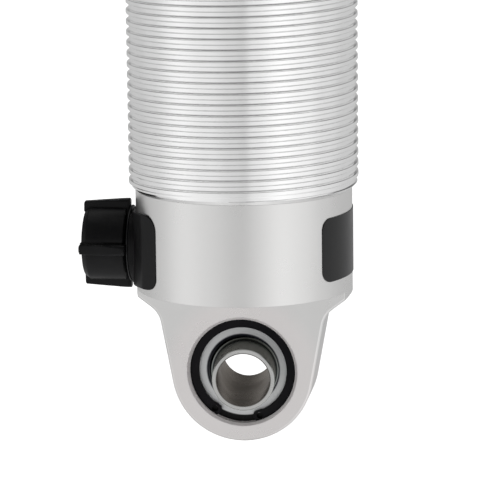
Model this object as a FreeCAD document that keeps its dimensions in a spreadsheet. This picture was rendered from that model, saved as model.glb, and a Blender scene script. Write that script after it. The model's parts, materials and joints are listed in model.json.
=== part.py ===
import FreeCAD, Part
import math
import os
import re
import Sketcher

# Threaded-body coilover damper, standing along Z, in millimetres
# The origin is the centre of the lower eye, whose bolt runs along Y

doc = FreeCAD.newDocument("coilover")
sheet = doc.addObject("Spreadsheet::Sheet", "Sizes")

SIZES = {
    # Mounting eyes, alike at both ends
    "eye_round_radius": 17.1,
    "eye_thickness": 14.8,
    "eye_taper": 10.5,
    "eye_corner_height": 14.1,
    "eye_shoulder_slope": 37,
    "eye_corner_fillet": 6,
    "eye_bore_chamfer": 0.6,
    "ledge_height": 19.7,
    # Spherical bearing, sleeve and snap rings, alike at both ends
    "race_radius": 12.7,
    "race_width": 9.9,
    "ball_radius": 9.92,
    "ball_width": 11.5,
    "ball_clearance": 0.03,
    "bolt_radius": 6.35,
    "sleeve_wall": 1.1,
    "sleeve_length": 31.75,
    "sleeve_edge_break": 0.25,
    "sleeve_clearance": 0.04,
    "sleeve_yaw": 5,
    "snap_ring_thickness": 1.07,
    "snap_ring_width": 2.7,
    "snap_groove_depth": 0.65,
    "snap_clearance": 0.05,
    "snap_lug_radius": 1.6,
    "snap_lug_angle": 56,
    "snap_hole_radius": 0.75,
    "snap_turn": 8,
    # Fits, edge breaks, hexagon corners and cutting room shared by many pieces
    "seat_clearance": 0.01,
    "fit_clearance": 0.05,
    "edge_break": 0.5,
    "cord_radius": 0.9,
    "hexagon_slope": 30,
    "cut_room": 4,
    # Base and threaded body, whose thread is cut in the solid at every third turn
    "base_radius": 25.95,
    "shoulder_height": 44,
    "spigot_length": 12,
    "passage_radius": 4.25,
    "thread_radius": 27.5,
    "tube_bore": 23.4,
    "tube_length": 194,
    "tube_end_chamfer": 1.5,
    "thread_pitch": 2.54,
    "thread_depth": 1.2,
    "thread_root": 0.94,
    "thread_flank": 14.5,
    "groove_start": 6.1,
    "groove_turns": 3,
    "groove_count": 25,
    # Pressure tube and foot valve
    "pressure_bore": 17.46,
    "pressure_wall": 1.59,
    "valve_seat_depth": 3,
    "valve_flange": 2.5,
    "valve_nose": 6.5,
    "valve_port_circle": 9,
    "valve_port_radius": 1.8,
    "valve_port_count": 6,
    "valve_disc_radius": 13,
    "valve_disc_thickness": 0.6,
    "valve_spring_rise": 1.4,
    "valve_spring_thickness": 0.5,
    "valve_spring_radius": 9,
    "rivet_radius": 2.5,
    "rivet_head_radius": 4,
    "rivet_head": 2.5,
    # Rod guide, seal and gland
    "rod_radius": 7.94,
    "rod_running_gap": 0.05,
    "guide_nose": 8,
    "guide_plate": 8,
    "bush_wall": 1.3,
    "seal_height": 6,
    "seal_radius": 14,
    "seal_lip_depth": 2.5,
    "gland_thread": 8,
    "gland_flange": 5,
    "gland_flange_radius": 27,
    "gland_rod_gap": 0.5,
    "gland_hole_circle": 20,
    "gland_hole_radius": 2,
    "gland_hole_depth": 3.5,
    "gland_hole_count": 4,
    "wiper_radius": 12,
    "wiper_height": 3.5,
    "wiper_lip": 1.5,
    # Piston and what is stacked on the rod under its shoulder
    "topout_gap": 0.3,
    "topout_thickness": 2.7,
    "topout_radius": 13,
    "stack_radius": 5,
    "washer_thickness": 2.4,
    "washer_radius": 14,
    "shim_thickness": 0.5,
    "shim_radius": 14.5,
    "shim_step": 2,
    "shim_count": 3,
    "piston_length": 16,
    "piston_gap": 0.3,
    "piston_port_circle": 10.5,
    "piston_port_radius": 2,
    "piston_port_count": 6,
    "band_width": 8,
    "band_thickness": 1.4,
    "piston_nut_height": 9,
    "piston_nut_flats": 19,
    "rod_end_reach": 1.5,
    # Stroke and what sits on the rod above the gland
    "stroke": 108,
    "bump_gap": 0.5,
    "bump_length": 24,
    "bump_radius": 17,
    "bump_waist_radius": 13.5,
    "bump_hole_gap": 0.3,
    "bump_washer_thickness": 2.5,
    "bump_washer_radius": 16,
    "rod_thread_radius": 6.3,
    "jam_nut_height": 9,
    "jam_nut_flats": 24,
    # Upper eye and spring hat
    "upper_bar_radius": 20,
    "upper_flange": 5,
    "neck_radius": 13,
    "neck_length": 9,
    "neck_clearance": 0.1,
    "rod_socket_depth": 16,
    "rod_socket_gap": 1,
    "hat_height": 16,
    "hat_flange": 4,
    "hat_crown": 4,
    "hat_crown_radius": 21,
    "hat_cone_radius": 34,
    "hat_wall": 3,
    # Coil spring, its seat and the threaded nut
    "spring_length": 254,
    "spring_inner_radius": 31.75,
    "wire_radius": 5.5,
    "spring_turns": 10,
    "spring_closed_pitch": 11.4,
    "seat_rim": 0.75,
    "seat_flange": 5,
    "seat_guide_height": 6,
    "guide_clearance": 0.35,
    "seat_slide_gap": 0.3,
    "nut_height": 15,
    "nut_radius": 36,
    "nut_bevel": 1.2,
    "nut_slot_count": 8,
    "nut_slot_width": 6,
    "nut_slot_depth": 3.5,
    "nut_slot_length": 9,
    "lock_screw_radius": 2.4,
    "lock_screw_length": 6,
    # Adjuster on the side of the base
    "adjuster_height": 29.8,
    "adjuster_depth": 8.25,
    "adjuster_bore": 7.5,
    "spindle_flange": 1.7,
    "spindle_flange_radius": 7,
    "spindle_float": 0.3,
    "spindle_radius": 3,
    "needle_passage": 3.5,
    "needle_radius": 2.6,
    "needle_gap": 1.75,
    "needle_cone": 4,
    "needle_tip_radius": 0.8,
    "collar_radius": 8,
    "collar_thickness": 0.3,
    "saddle_thickness": 0.85,
    "saddle_half_width": 18,
    "saddle_below": 8.4,
    "saddle_above": 8.6,
    "saddle_corner": 3,
    "saddle_full_angle": 33,
    "saddle_end_angle": 48,
    "saddle_boss_radius": 8.6,
    "saddle_boss_proud": 0.25,
    "knob_gap": 0.45,
    "knob_length": 10.3,
    "knob_radius": 8.4,
    "knob_bevel": 0.9,
    "knob_socket": 6,
    "knob_rib_length": 11.4,
    "knob_rib_reach": 10.5,
    "knob_rib_taper": 0.85,
    "knob_rib_corner": 1,
    "knob_rib_width": 2.4,
    "knob_rib_round": 1.5,
    "knob_rib_count": 4,
    "knob_screw_radius": 1.3,
    "knob_screw_length": 5.5,
    "knob_screw_head": 1.9,
    "knob_screw_head_radius": 3,
    "knob_screw_web": 1.6,
    "detent_ball_radius": 1.2,
    "detent_spring_length": 3,
    "detent_wire_radius": 0.25,
    "detent_turns": 4,
}

# Places and sizes that follow from the sizes above
PLACES = {
    "eye_half": "eye_thickness / 2",
    "eye_corner": "eye_round_radius / cos(eye_taper) + eye_corner_height * tan(eye_taper)",
    "fillet_run": "eye_corner_fillet * tan((90 - eye_taper - eye_shoulder_slope) / 2)",
    "sleeve_radius": "bolt_radius + sleeve_wall",
    "ball_bore": "sleeve_radius + sleeve_clearance",
    "race_sphere": "ball_radius + ball_clearance",
    "eye_bore": "race_radius + seat_clearance",
    "snap_groove_radius": "eye_bore + snap_groove_depth",
    "snap_outer": "snap_groove_radius - snap_clearance",
    "snap_inner": "snap_outer - snap_ring_width",
    "snap_lug_circle": "snap_outer - snap_clearance - snap_lug_radius",
    "snap_place": "race_width / 2 + snap_clearance / 2",
    "snap_groove_end": "race_width / 2 + snap_ring_thickness + snap_clearance",
    "spigot_radius": "tube_bore - fit_clearance",
    "spigot_top": "shoulder_height + spigot_length",
    "cord_groove": "tube_bore - 2 * cord_radius - 2 * fit_clearance",
    "cord_circle": "tube_bore - cord_radius - fit_clearance",
    "body_cord_height": "shoulder_height + spigot_length / 2",
    "tube_top": "shoulder_height + tube_length",
    "pressure_outer": "pressure_bore + pressure_wall",
    "valve_seat": "spigot_top - valve_seat_depth",
    "valve_flange_top": "valve_seat + valve_flange",
    "valve_top": "valve_flange_top + valve_nose",
    "valve_disc_top": "valve_top + valve_disc_thickness",
    "valve_spring_top": "valve_disc_top + valve_spring_rise",
    "rivet_hole": "rivet_radius + fit_clearance",
    "gland_bottom": "tube_top - gland_thread",
    "gland_top": "tube_top + gland_flange",
    "plate_bottom": "gland_bottom - guide_plate",
    "guide_bottom": "plate_bottom - guide_nose",
    "guide_cord_height": "plate_bottom + guide_plate / 2",
    "rod_hole": "rod_radius + rod_running_gap",
    "bush_outer": "rod_hole + bush_wall",
    "gland_hole": "rod_radius + gland_rod_gap",
    "rod_shoulder": "guide_bottom - topout_gap - topout_thickness",
    "stack_hole": "stack_radius + fit_clearance",
    "washer_bottom": "rod_shoulder - washer_thickness",
    "piston_top": "washer_bottom - shim_count * shim_thickness",
    "piston_bottom": "piston_top - piston_length",
    "piston_radius": "pressure_bore - piston_gap",
    "band_outer": "pressure_bore - fit_clearance",
    "band_inner": "band_outer - band_thickness",
    "band_bottom": "piston_top - piston_length / 2 - band_width / 2",
    "piston_nut_top": "piston_bottom - shim_count * shim_thickness",
    "piston_nut_bottom": "piston_nut_top - piston_nut_height",
    "rod_end": "piston_nut_bottom - rod_end_reach",
    "bump_bottom": "gland_top + wiper_lip + stroke + bump_gap",
    "bump_top": "bump_bottom + bump_length",
    "bump_hole": "rod_radius + bump_hole_gap",
    "lobe_bulge": "bump_radius - bump_waist_radius",
    "lobe_radius": "(bump_length^2 / 16 + lobe_bulge^2) / (2 * lobe_bulge)",
    "lobe_middle": "bump_radius - lobe_radius",
    "jam_nut_bottom": "bump_top + bump_washer_thickness",
    "neck_bottom": "jam_nut_bottom + jam_nut_height",
    "rod_thread_hole": "rod_thread_radius + fit_clearance",
    "rod_top": "neck_bottom + rod_socket_depth - rod_socket_gap",
    "upper_flange_end": "ledge_height + upper_flange",
    "upper_neck_end": "upper_flange_end + neck_length",
    "upper_eye_height": "neck_bottom + upper_neck_end",
    "hat_top": "upper_eye_height - upper_flange_end",
    "hat_face": "hat_top - hat_height",
    "hat_hole": "neck_radius + neck_clearance",
    "spring_outer": "spring_inner_radius + 2 * wire_radius",
    "seat_radius": "spring_outer + seat_rim",
    "seat_guide": "spring_inner_radius - guide_clearance",
    "seat_top": "hat_face - spring_length",
    "nut_top": "seat_top - seat_flange",
    "nut_bottom": "nut_top - nut_height",
    "nut_bore": "thread_radius + fit_clearance",
    "lock_screw_height": "nut_top - (nut_height - nut_slot_length) / 2",
    "saddle_radius": "base_radius + saddle_thickness",
    "saddle_low": "adjuster_height - saddle_below",
    "saddle_high": "adjuster_height + saddle_above",
    "gland_floor": "base_radius - adjuster_depth",
    "spindle_flange_start": "gland_floor + spindle_float",
    "spindle_flange_end": "spindle_flange_start + spindle_flange",
    "collar_start": "saddle_radius + saddle_boss_proud",
    "saddle_bore": "base_radius + seat_clearance",
    "knob_start": "collar_start + collar_thickness + knob_gap",
    "spindle_end": "knob_start + knob_socket",
    "spindle_cord_place": "(spindle_flange_end + base_radius) / 2",
    "knob_end": "knob_start + knob_length",
    "knob_rib_end": "knob_start + knob_rib_length",
    "knob_head_floor": "spindle_end + knob_screw_web",
    "detent_circle": "(needle_passage + adjuster_bore) / 2",
    "detent_hole": "detent_ball_radius + fit_clearance",
    "detent_ball_place": "gland_floor - detent_ball_radius + spindle_float / 2",
    "detent_floor": "gland_floor - 2 * detent_ball_radius - detent_spring_length",
}

HEXAGON_SIDES = 6
NO_DISTANCE = 1e-9
LOCK_SCREW_TURN = FreeCAD.Rotation(FreeCAD.Vector(1, 0, 0), 90)
BOLT_TURN = FreeCAD.Rotation(FreeCAD.Vector(1, 0, 0), -90)
KNOB_TURN = FreeCAD.Rotation(FreeCAD.Vector(0, 1, 0), -90)
pieces = []

for row, (word, number) in enumerate(SIZES.items(), start=1):
    sheet.set("A%d" % row, word)
    sheet.set("B%d" % row, str(number))
    sheet.setAlias("B%d" % row, word)
doc.recompute()


def bound(text):
    """The expression with each size read from the sheet and each place worked out."""
    def swap(match):
        word = match.group()
        if word in PLACES:
            return "(" + bound(PLACES[word]) + ")"
        if word in SIZES:
            return "Sizes." + word
        return word
    return re.sub(r"[a-z]+(?:_[a-z]+)*", swap, text)


def value(text):
    """The number that an expression gives with the sheet's present sizes."""
    return float(sheet.evalExpression(bound(text)))


def keep(piece):
    """Puts a finished document object on the list of sub-parts."""
    pieces.append(piece)
    return piece


def new_body(label):
    """An empty body with its own label."""
    body = doc.addObject("PartDesign::Body", label)
    body.Label = label
    return body


def place(piece, turn=None, x=None, y=None, z=None):
    """Turns a piece and binds where it stands to the sheet."""
    piece.Placement = FreeCAD.Placement(FreeCAD.Vector(), turn or FreeCAD.Rotation())
    for axis, text in (("x", x), ("y", y), ("z", z)):
        if text:
            piece.setExpression("Placement.Base." + axis, bound(text))


def origin_feature(body, role):
    """One of the body's own origin planes or axes."""
    return next(item for item in body.Origin.OriginFeatures if item.Role == role)


def new_sketch(body, plane, name, rise=None):
    """A sketch on one of the body's origin planes, moved along its own Y by rise."""
    sketch = body.newObject("Sketcher::SketchObject", name)
    sketch.AttachmentSupport = [(origin_feature(body, plane), "")]
    sketch.MapMode = "FlatFace"
    if rise:
        sketch.setExpression("AttachmentOffset.Base.y", bound(rise))
    return sketch


def fix(sketch, kind, geometry, point, text):
    """Holds one coordinate of a sketch point at an expression's value."""
    axis = {"DistanceX": -2, "DistanceY": -1}[kind]
    if abs(value(text)) < NO_DISTANCE:
        sketch.addConstraint(Sketcher.Constraint("PointOnObject", geometry, point, axis))
        return
    rule = Sketcher.Constraint(kind, -1, 1, geometry, point, value(text))
    number = sketch.addConstraint(rule)
    sketch.setExpression("Constraints[%d]" % number, bound(text))


def spot(radius, angle):
    """The x and y of a point at a radius and an angle about the origin."""
    return ("(%s) * cos(%s)" % (radius, angle), "(%s) * sin(%s)" % (radius, angle))


def arc_between(start, end, arc):
    """An arc from start to end, whose geometry always runs anticlockwise."""
    centre = FreeCAD.Vector(value(arc[0]), value(arc[1]), 0)
    first, last = (start, end) if arc[3] == "left" else (end, start)
    angles = [math.atan2(point.y - centre.y, point.x - centre.x) for point in (first, last)]
    if angles[1] < angles[0]:
        angles[1] += 2 * math.pi
    circle = Part.Circle(centre, FreeCAD.Vector(0, 0, 1), value(arc[2]))
    return Part.ArcOfCircle(circle, angles[0], angles[1])


def draw(sketch, corners):
    """A closed outline: each corner is x, y and, before an arc, (centre x, y, radius, turn)."""
    first = sketch.GeometryCount
    points = [FreeCAD.Vector(value(corner[0]), value(corner[1]), 0) for corner in corners]
    ends = []
    for index, corner in enumerate(corners):
        start, end = points[index], points[(index + 1) % len(points)]
        if len(corner) == 2:
            sketch.addGeometry(Part.LineSegment(start, end), False)
            ends.append((1, 2))
        else:
            sketch.addGeometry(arc_between(start, end, corner[2]), False)
            ends.append((1, 2) if corner[2][3] == "left" else (2, 1))
    for index, corner in enumerate(corners):
        after = (index + 1) % len(corners)
        joint = (first + index, ends[index][1], first + after, ends[after][0])
        sketch.addConstraint(Sketcher.Constraint("Coincident", *joint))
        fix(sketch, "DistanceX", first + index, ends[index][0], corner[0])
        fix(sketch, "DistanceY", first + index, ends[index][0], corner[1])
        if len(corner) == 3:
            rule = Sketcher.Constraint("Radius", first + index, value(corner[2][2]))
            number = sketch.addConstraint(rule)
            sketch.setExpression("Constraints[%d]" % number, bound(corner[2][2]))
    return sketch


def draw_circle(sketch, x, y, radius):
    """A circle with its centre and radius bound to the sheet."""
    centre = FreeCAD.Vector(value(x), value(y), 0)
    circle = Part.Circle(centre, FreeCAD.Vector(0, 0, 1), value(radius))
    index = sketch.addGeometry(circle, False)
    fix(sketch, "DistanceX", index, 3, x)
    fix(sketch, "DistanceY", index, 3, y)
    number = sketch.addConstraint(Sketcher.Constraint("Radius", index, value(radius)))
    sketch.setExpression("Constraints[%d]" % number, bound(radius))
    return sketch


def revolve(body, sketch, kind="Revolution", axis="V_Axis"):
    """Turns a sketch through a full circle, as added or removed material."""
    feature = body.newObject("PartDesign::" + kind, sketch.Name + "_turn")
    feature.Profile = sketch
    feature.ReferenceAxis = (sketch, [axis])
    feature.Angle = 360
    sketch.Visibility = False
    body.Tip = feature
    return feature


def extrude(body, sketch, kind, length=None, symmetric=False, reverse=False):
    """Pads or pockets a sketch by a length, or right through where none is given."""
    feature = body.newObject("PartDesign::" + kind, sketch.Name + "_run")
    feature.Profile = sketch
    feature.SideType = "Symmetric" if symmetric else "One side"
    feature.Reversed = reverse
    if length:
        feature.setExpression("Length", bound(length))
    else:
        feature.Type = "ThroughAll"
    body.Tip = feature
    return feature


def repeat(body, feature, count, axis="Z_Axis"):
    """Repeats a feature evenly round one of the body's axes."""
    pattern = body.newObject("PartDesign::PolarPattern", feature.Name + "_ring")
    pattern.Originals = [feature]
    pattern.Axis = (origin_feature(body, axis), [""])
    pattern.Angle = 360
    pattern.setExpression("Occurrences", bound(count))
    body.Tip = pattern
    return pattern


def repeat_along(body, feature, count, step):
    """Repeats a feature at even steps up the body's Z axis."""
    pattern = body.newObject("PartDesign::LinearPattern", feature.Name + "_row")
    pattern.Originals = [feature]
    pattern.Direction = (origin_feature(body, "Z_Axis"), [""])
    pattern.setExpression("Length", bound("(%s - 1) * %s" % (count, step)))
    pattern.setExpression("Occurrences", bound(count))
    body.Tip = pattern
    return pattern


def lathe(label, corners):
    """A body turned on the lathe: corners are radius and height."""
    body = new_body(label)
    revolve(body, draw(new_sketch(body, "XZ_Plane", label + "_profile"), corners))
    return body


def turned(label, corners):
    """A turned body that is a sub-part by itself."""
    return keep(lathe(label, corners))


def band(inner, outer, low, high):
    """The corners of a plain ring, washer or tube."""
    return [(inner, low), (outer, low), (outer, high), (inner, high)]


def tube(label, inner, outer, low, high):
    """A plain ring, washer or tube that is a sub-part by itself."""
    return turned(label, band(inner, outer, low, high))


def rubber_ring(label, circle, cord):
    """A round-section seal ring."""
    ring = doc.addObject("Part::Torus", label)
    ring.Label = label
    ring.setExpression("Radius1", bound(circle))
    ring.setExpression("Radius2", bound(cord))
    return keep(ring)


def hexagon_nut(label, flats, hole, low, high):
    """A hexagon nut whose corners are turned off at thirty degrees at both ends."""
    body = new_body(label)
    corner = "(%s) / sqrt(3)" % flats
    sketch = new_sketch(body, "XY_Plane", label + "_hexagon")
    angles = [number * 360 // HEXAGON_SIDES for number in range(HEXAGON_SIDES)]
    draw(sketch, [spot(corner, angle) for angle in angles])
    draw_circle(sketch, "0", "0", hole)
    sketch.setExpression("AttachmentOffset.Base.z", bound(low))
    extrude(body, sketch, "Pad", "(%s) - (%s)" % (high, low))
    bevel = new_sketch(body, "XZ_Plane", label + "_bevel")
    beyond = "%s + cut_room" % corner
    drop = "(%s - (%s) / 2) * tan(hexagon_slope)" % (beyond, flats)
    draw(bevel, [("(%s) / 2" % flats, high), (beyond, "%s - %s" % (high, drop)), (beyond, high)])
    draw(bevel, [("(%s) / 2" % flats, low), (beyond, low), (beyond, "%s + %s" % (low, drop))])
    revolve(body, bevel, "Groove")
    return keep(body)


def break_plate_edges(body):
    """Chamfers the outline of an eye plate on both of its faces, below the ledge."""
    doc.recompute()
    milled = body.Tip
    names = []
    for number, edge in enumerate(milled.Shape.Edges, start=1):
        on_face = all(abs(abs(end.Y) - value("eye_half")) < NO_DISTANCE for end in edge.Vertexes)
        if on_face and min(end.Z for end in edge.Vertexes) < value("eye_corner_height"):
            names.append("Edge%d" % number)
    chamfer = body.newObject("PartDesign::Chamfer", body.Label + "_edge_break")
    chamfer.Base = (milled, names)
    chamfer.setExpression("Size", bound("edge_break"))
    body.Tip = chamfer


def mill_eye(body, bar_radius):
    """Mills a turned bar's end to a tapered, round-ended eye plate with a bearing bore."""
    label = body.Label
    beyond = bar_radius + " + cut_room"
    slope_end = "eye_corner_height + (%s - eye_corner) * tan(eye_shoulder_slope)" % beyond
    flank = ("eye_corner - fillet_run * sin(eye_taper)",
             "eye_corner_height - fillet_run * cos(eye_taper)")
    slope = ("eye_corner + fillet_run * cos(eye_shoulder_slope)",
             "eye_corner_height + fillet_run * sin(eye_shoulder_slope)")
    hollow = (flank[0] + " + eye_corner_fillet * cos(eye_taper)",
              flank[1] + " - eye_corner_fillet * sin(eye_taper)")
    tangent = ("eye_round_radius * cos(eye_taper)", "-eye_round_radius * sin(eye_taper)")
    round_end = ("0", "0", "eye_round_radius", "right")
    right_fillet = (hollow[0], hollow[1], "eye_corner_fillet", "left")
    left_fillet = ("-(%s)" % hollow[0], hollow[1], "eye_corner_fillet", "left")
    outline = new_sketch(body, "XZ_Plane", label + "_outline")
    draw(outline, [
        ("-(%s)" % beyond, slope_end),
        ("-(%s)" % beyond, "-(%s)" % beyond),
        (beyond, "-(%s)" % beyond),
        (beyond, slope_end),
        (slope[0], slope[1], right_fillet),
        flank,
        (tangent[0], tangent[1], round_end),
        ("-(%s)" % tangent[0], tangent[1]),
        ("-(%s)" % flank[0], flank[1], left_fillet),
        ("-(%s)" % slope[0], slope[1]),
    ])
    extrude(body, outline, "Pocket", symmetric=True)
    flats = new_sketch(body, "YZ_Plane", label + "_flats")
    for side in ("", "-"):
        draw(flats, [
            (side + "eye_half", "-(%s)" % beyond),
            ("%s(%s)" % (side, beyond), "-(%s)" % beyond),
            ("%s(%s)" % (side, beyond), "ledge_height"),
            (side + "eye_half", "ledge_height"),
        ])
    extrude(body, flats, "Pocket", symmetric=True)
    break_plate_edges(body)
    bore = new_sketch(body, "YZ_Plane", label + "_bore")
    groove_ends = ("snap_groove_end", "race_width / 2")
    outside = "eye_half + cut_room"
    flare = "eye_bore + eye_bore_chamfer + cut_room"
    draw(bore, [
        ("-(%s)" % outside, "0"),
        ("-(%s)" % outside, flare),
        ("-eye_half + eye_bore_chamfer", "eye_bore"),
        ("-(%s)" % groove_ends[0], "eye_bore"),
        ("-(%s)" % groove_ends[0], "snap_groove_radius"),
        ("-(%s)" % groove_ends[1], "snap_groove_radius"),
        ("-(%s)" % groove_ends[1], "eye_bore"),
        (groove_ends[1], "eye_bore"),
        (groove_ends[1], "snap_groove_radius"),
        (groove_ends[0], "snap_groove_radius"),
        (groove_ends[0], "eye_bore"),
        ("eye_half - eye_bore_chamfer", "eye_bore"),
        (outside, flare),
        (outside, "0"),
    ])
    revolve(body, bore, "Groove", "H_Axis")


def base_eye():
    """The lower end: spigot, base ring and eye in one, with the adjuster's cross drilling."""
    body = new_body("base_eye")
    profile = new_sketch(body, "XZ_Plane", "base_profile")
    draw(profile, [
        ("0", "-eye_round_radius - cut_room"),
        ("base_radius", "-eye_round_radius - cut_room"),
        ("base_radius", "shoulder_height"),
        ("spigot_radius", "shoulder_height"),
        ("spigot_radius", "body_cord_height - cord_radius - fit_clearance"),
        ("cord_groove", "body_cord_height - cord_radius - fit_clearance"),
        ("cord_groove", "body_cord_height + cord_radius + fit_clearance"),
        ("spigot_radius", "body_cord_height + cord_radius + fit_clearance"),
        ("spigot_radius", "spigot_top"),
        ("pressure_outer + fit_clearance", "spigot_top"),
        ("pressure_outer + fit_clearance", "valve_seat"),
        ("passage_radius", "valve_seat"),
        ("passage_radius", "adjuster_height - passage_radius"),
        ("0", "adjuster_height - passage_radius"),
    ])
    revolve(body, profile)
    mill_eye(body, "base_radius")
    cross = new_sketch(body, "XZ_Plane", "adjuster_drilling", "adjuster_height")
    beyond = "-base_radius - cut_room"
    draw(cross, [
        (beyond, "0"),
        (beyond, "adjuster_bore"),
        ("-gland_floor", "adjuster_bore"),
        ("-gland_floor", "needle_passage"),
        ("0", "needle_passage"),
        ("0", "0"),
    ])
    revolve(body, cross, "Groove", "H_Axis")
    pocket = new_sketch(body, "XZ_Plane", "detent_drilling", "adjuster_height + detent_circle")
    draw(pocket, [
        ("-gland_floor - spindle_float", "0"),
        ("-gland_floor - spindle_float", "detent_hole"),
        ("-detent_floor", "detent_hole"),
        ("-detent_floor", "0"),
    ])
    revolve(body, pocket, "Groove", "H_Axis")
    return keep(body)


def upper_eye():
    """The rod's eye, modelled like the lower one and turned over."""
    body = new_body("upper_eye")
    profile = new_sketch(body, "XZ_Plane", "upper_profile")
    draw(profile, [
        ("0", "-eye_round_radius - cut_room"),
        ("upper_bar_radius", "-eye_round_radius - cut_room"),
        ("upper_bar_radius", "upper_flange_end"),
        ("neck_radius", "upper_flange_end"),
        ("neck_radius", "upper_neck_end"),
        ("rod_thread_hole", "upper_neck_end"),
        ("rod_thread_hole", "upper_neck_end - rod_socket_depth"),
        ("0", "upper_neck_end - rod_socket_depth"),
    ])
    revolve(body, profile)
    mill_eye(body, "upper_bar_radius")
    place(body, FreeCAD.Rotation(FreeCAD.Vector(0, 1, 0), 180), z="upper_eye_height")
    return keep(body)


def snap_ring(label, offset, height):
    """An internal snap ring with a round drilled lug at each side of its gap, which points down."""
    body = new_body(label)
    ends = ("90 - snap_lug_angle / 2", "90 + snap_lug_angle / 2")
    strip = new_sketch(body, "XY_Plane", label + "_strip")
    draw(strip, [
        spot("snap_outer", ends[0]) + (("0", "0", "snap_outer", "right"),),
        spot("snap_outer", ends[1]),
        spot("snap_inner", ends[1]) + (("0", "0", "snap_inner", "left"),),
        spot("snap_inner", ends[0]),
    ])
    extrude(body, strip, "Pad", "snap_ring_thickness")
    lugs = new_sketch(body, "XY_Plane", label + "_lugs")
    holes = new_sketch(body, "XY_Plane", label + "_holes")
    for angle in ends:
        x, y = spot("snap_lug_circle", angle)
        draw_circle(lugs, x, y, "snap_lug_radius")
        draw_circle(holes, x, y, "snap_hole_radius")
    extrude(body, lugs, "Pad", "snap_ring_thickness")
    extrude(body, holes, "Pocket", symmetric=True)
    turn = FreeCAD.Rotation(FreeCAD.Vector(0, 0, 1), value("snap_turn"))
    place(body, BOLT_TURN.multiply(turn), y=offset, z=height)
    return body


def group(label, members):
    """Separate like solids kept together in one sub-part."""
    bundle = doc.addObject("Part::Compound", label)
    bundle.Label = label
    bundle.Links = members
    return keep(bundle)


def bearing(end, height, yaw):
    """One eye's race, ball, sleeve and pair of snap rings, with the bolt along Y."""
    opening = "sqrt(race_sphere^2 - race_width^2 / 4)"
    race = turned(end + "_race", [
        ("race_radius", "-race_width / 2"),
        ("race_radius", "race_width / 2"),
        (opening, "race_width / 2", ("0", "0", "race_sphere", "right")),
        (opening, "-race_width / 2"),
    ])
    place(race, BOLT_TURN, z=height)
    face = "sqrt(ball_radius^2 - ball_width^2 / 4)"
    ball = turned(end + "_ball", [
        ("ball_bore", "-ball_width / 2"),
        (face, "-ball_width / 2", ("0", "0", "ball_radius", "left")),
        (face, "ball_width / 2"),
        ("ball_bore", "ball_width / 2"),
    ])
    sleeve = turned(end + "_sleeve", [
        ("bolt_radius", "-sleeve_length / 2"),
        ("sleeve_radius - sleeve_edge_break", "-sleeve_length / 2"),
        ("sleeve_radius", "-sleeve_length / 2 + sleeve_edge_break"),
        ("sleeve_radius", "sleeve_length / 2 - sleeve_edge_break"),
        ("sleeve_radius - sleeve_edge_break", "sleeve_length / 2"),
        ("bolt_radius", "sleeve_length / 2"),
    ])
    swing = FreeCAD.Rotation(FreeCAD.Vector(0, 0, 1), yaw)
    for piece in (ball, sleeve):
        place(piece, swing.multiply(BOLT_TURN), z=height)
    front = snap_ring(end + "_snap_front", "-snap_place - snap_ring_thickness", height)
    back = snap_ring(end + "_snap_back", "snap_place", height)
    group(end + "_snap_rings", [front, back])


def threaded_body():
    """The outer tube, bevelled where it meets the base, with every third turn of its thread."""
    body = turned("threaded_body", [
        ("tube_bore", "shoulder_height"),
        ("thread_radius - tube_end_chamfer", "shoulder_height"),
        ("thread_radius", "shoulder_height + tube_end_chamfer"),
        ("thread_radius", "tube_top"),
        ("tube_bore", "tube_top"),
    ])
    outside = "thread_radius + cut_room"
    half_root = "thread_root / 2"
    half_mouth = "thread_root / 2 + (thread_depth + cut_room) * tan(thread_flank)"
    groove = new_sketch(body, "XZ_Plane", "thread_groove", "shoulder_height + groove_start")
    draw(groove, [
        ("thread_radius - thread_depth", "-" + half_root),
        (outside, "-(%s)" % half_mouth),
        (outside, half_mouth),
        ("thread_radius - thread_depth", half_root),
    ])
    repeat_along(body, revolve(body, groove, "Groove"), "groove_count", "groove_turns * thread_pitch")
    place(rubber_ring("body_oring", "cord_circle", "cord_radius"), z="body_cord_height")


def drilled_ring(body, label, circle, radius, low, high, count):
    """A ring of round holes drilled down through a turned piece between two heights."""
    sketch = draw_circle(new_sketch(body, "XY_Plane", label), circle, "0", radius)
    sketch.setExpression("AttachmentOffset.Base.z", bound(high))
    repeat(body, extrude(body, sketch, "Pocket", "(%s) - (%s)" % (high, low)), count)


def foot_valve():
    """The valve in the foot of the pressure tube: ported body, disc, spring and rivet."""
    body = turned("foot_valve_body", [
        ("rivet_hole", "valve_seat"),
        ("pressure_outer", "valve_seat"),
        ("pressure_outer", "valve_flange_top"),
        ("pressure_bore - fit_clearance", "valve_flange_top"),
        ("pressure_bore - fit_clearance", "valve_top"),
        ("rivet_hole", "valve_top"),
    ])
    drilled_ring(body, "valve_ports", "valve_port_circle", "valve_port_radius",
                 "valve_seat - cut_room", "valve_top + cut_room", "valve_port_count")
    tube("foot_valve_disc", "rivet_hole", "valve_disc_radius", "valve_top", "valve_disc_top")
    turned("foot_valve_spring", [
        ("rivet_hole", "valve_spring_top - valve_spring_thickness"),
        ("valve_spring_radius", "valve_disc_top"),
        ("valve_spring_radius", "valve_disc_top + valve_spring_thickness"),
        ("rivet_hole", "valve_spring_top"),
    ])
    turned("foot_valve_rivet", [
        ("0", "valve_seat - rivet_head"),
        ("rivet_head_radius", "valve_seat - rivet_head"),
        ("rivet_head_radius", "valve_seat"),
        ("rivet_radius", "valve_seat"),
        ("rivet_radius", "valve_spring_top"),
        ("rivet_head_radius", "valve_spring_top"),
        ("rivet_head_radius", "valve_spring_top + rivet_head"),
        ("0", "valve_spring_top + rivet_head"),
    ])
    tube("pressure_tube", "pressure_bore", "pressure_outer", "valve_flange_top", "plate_bottom")


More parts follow.
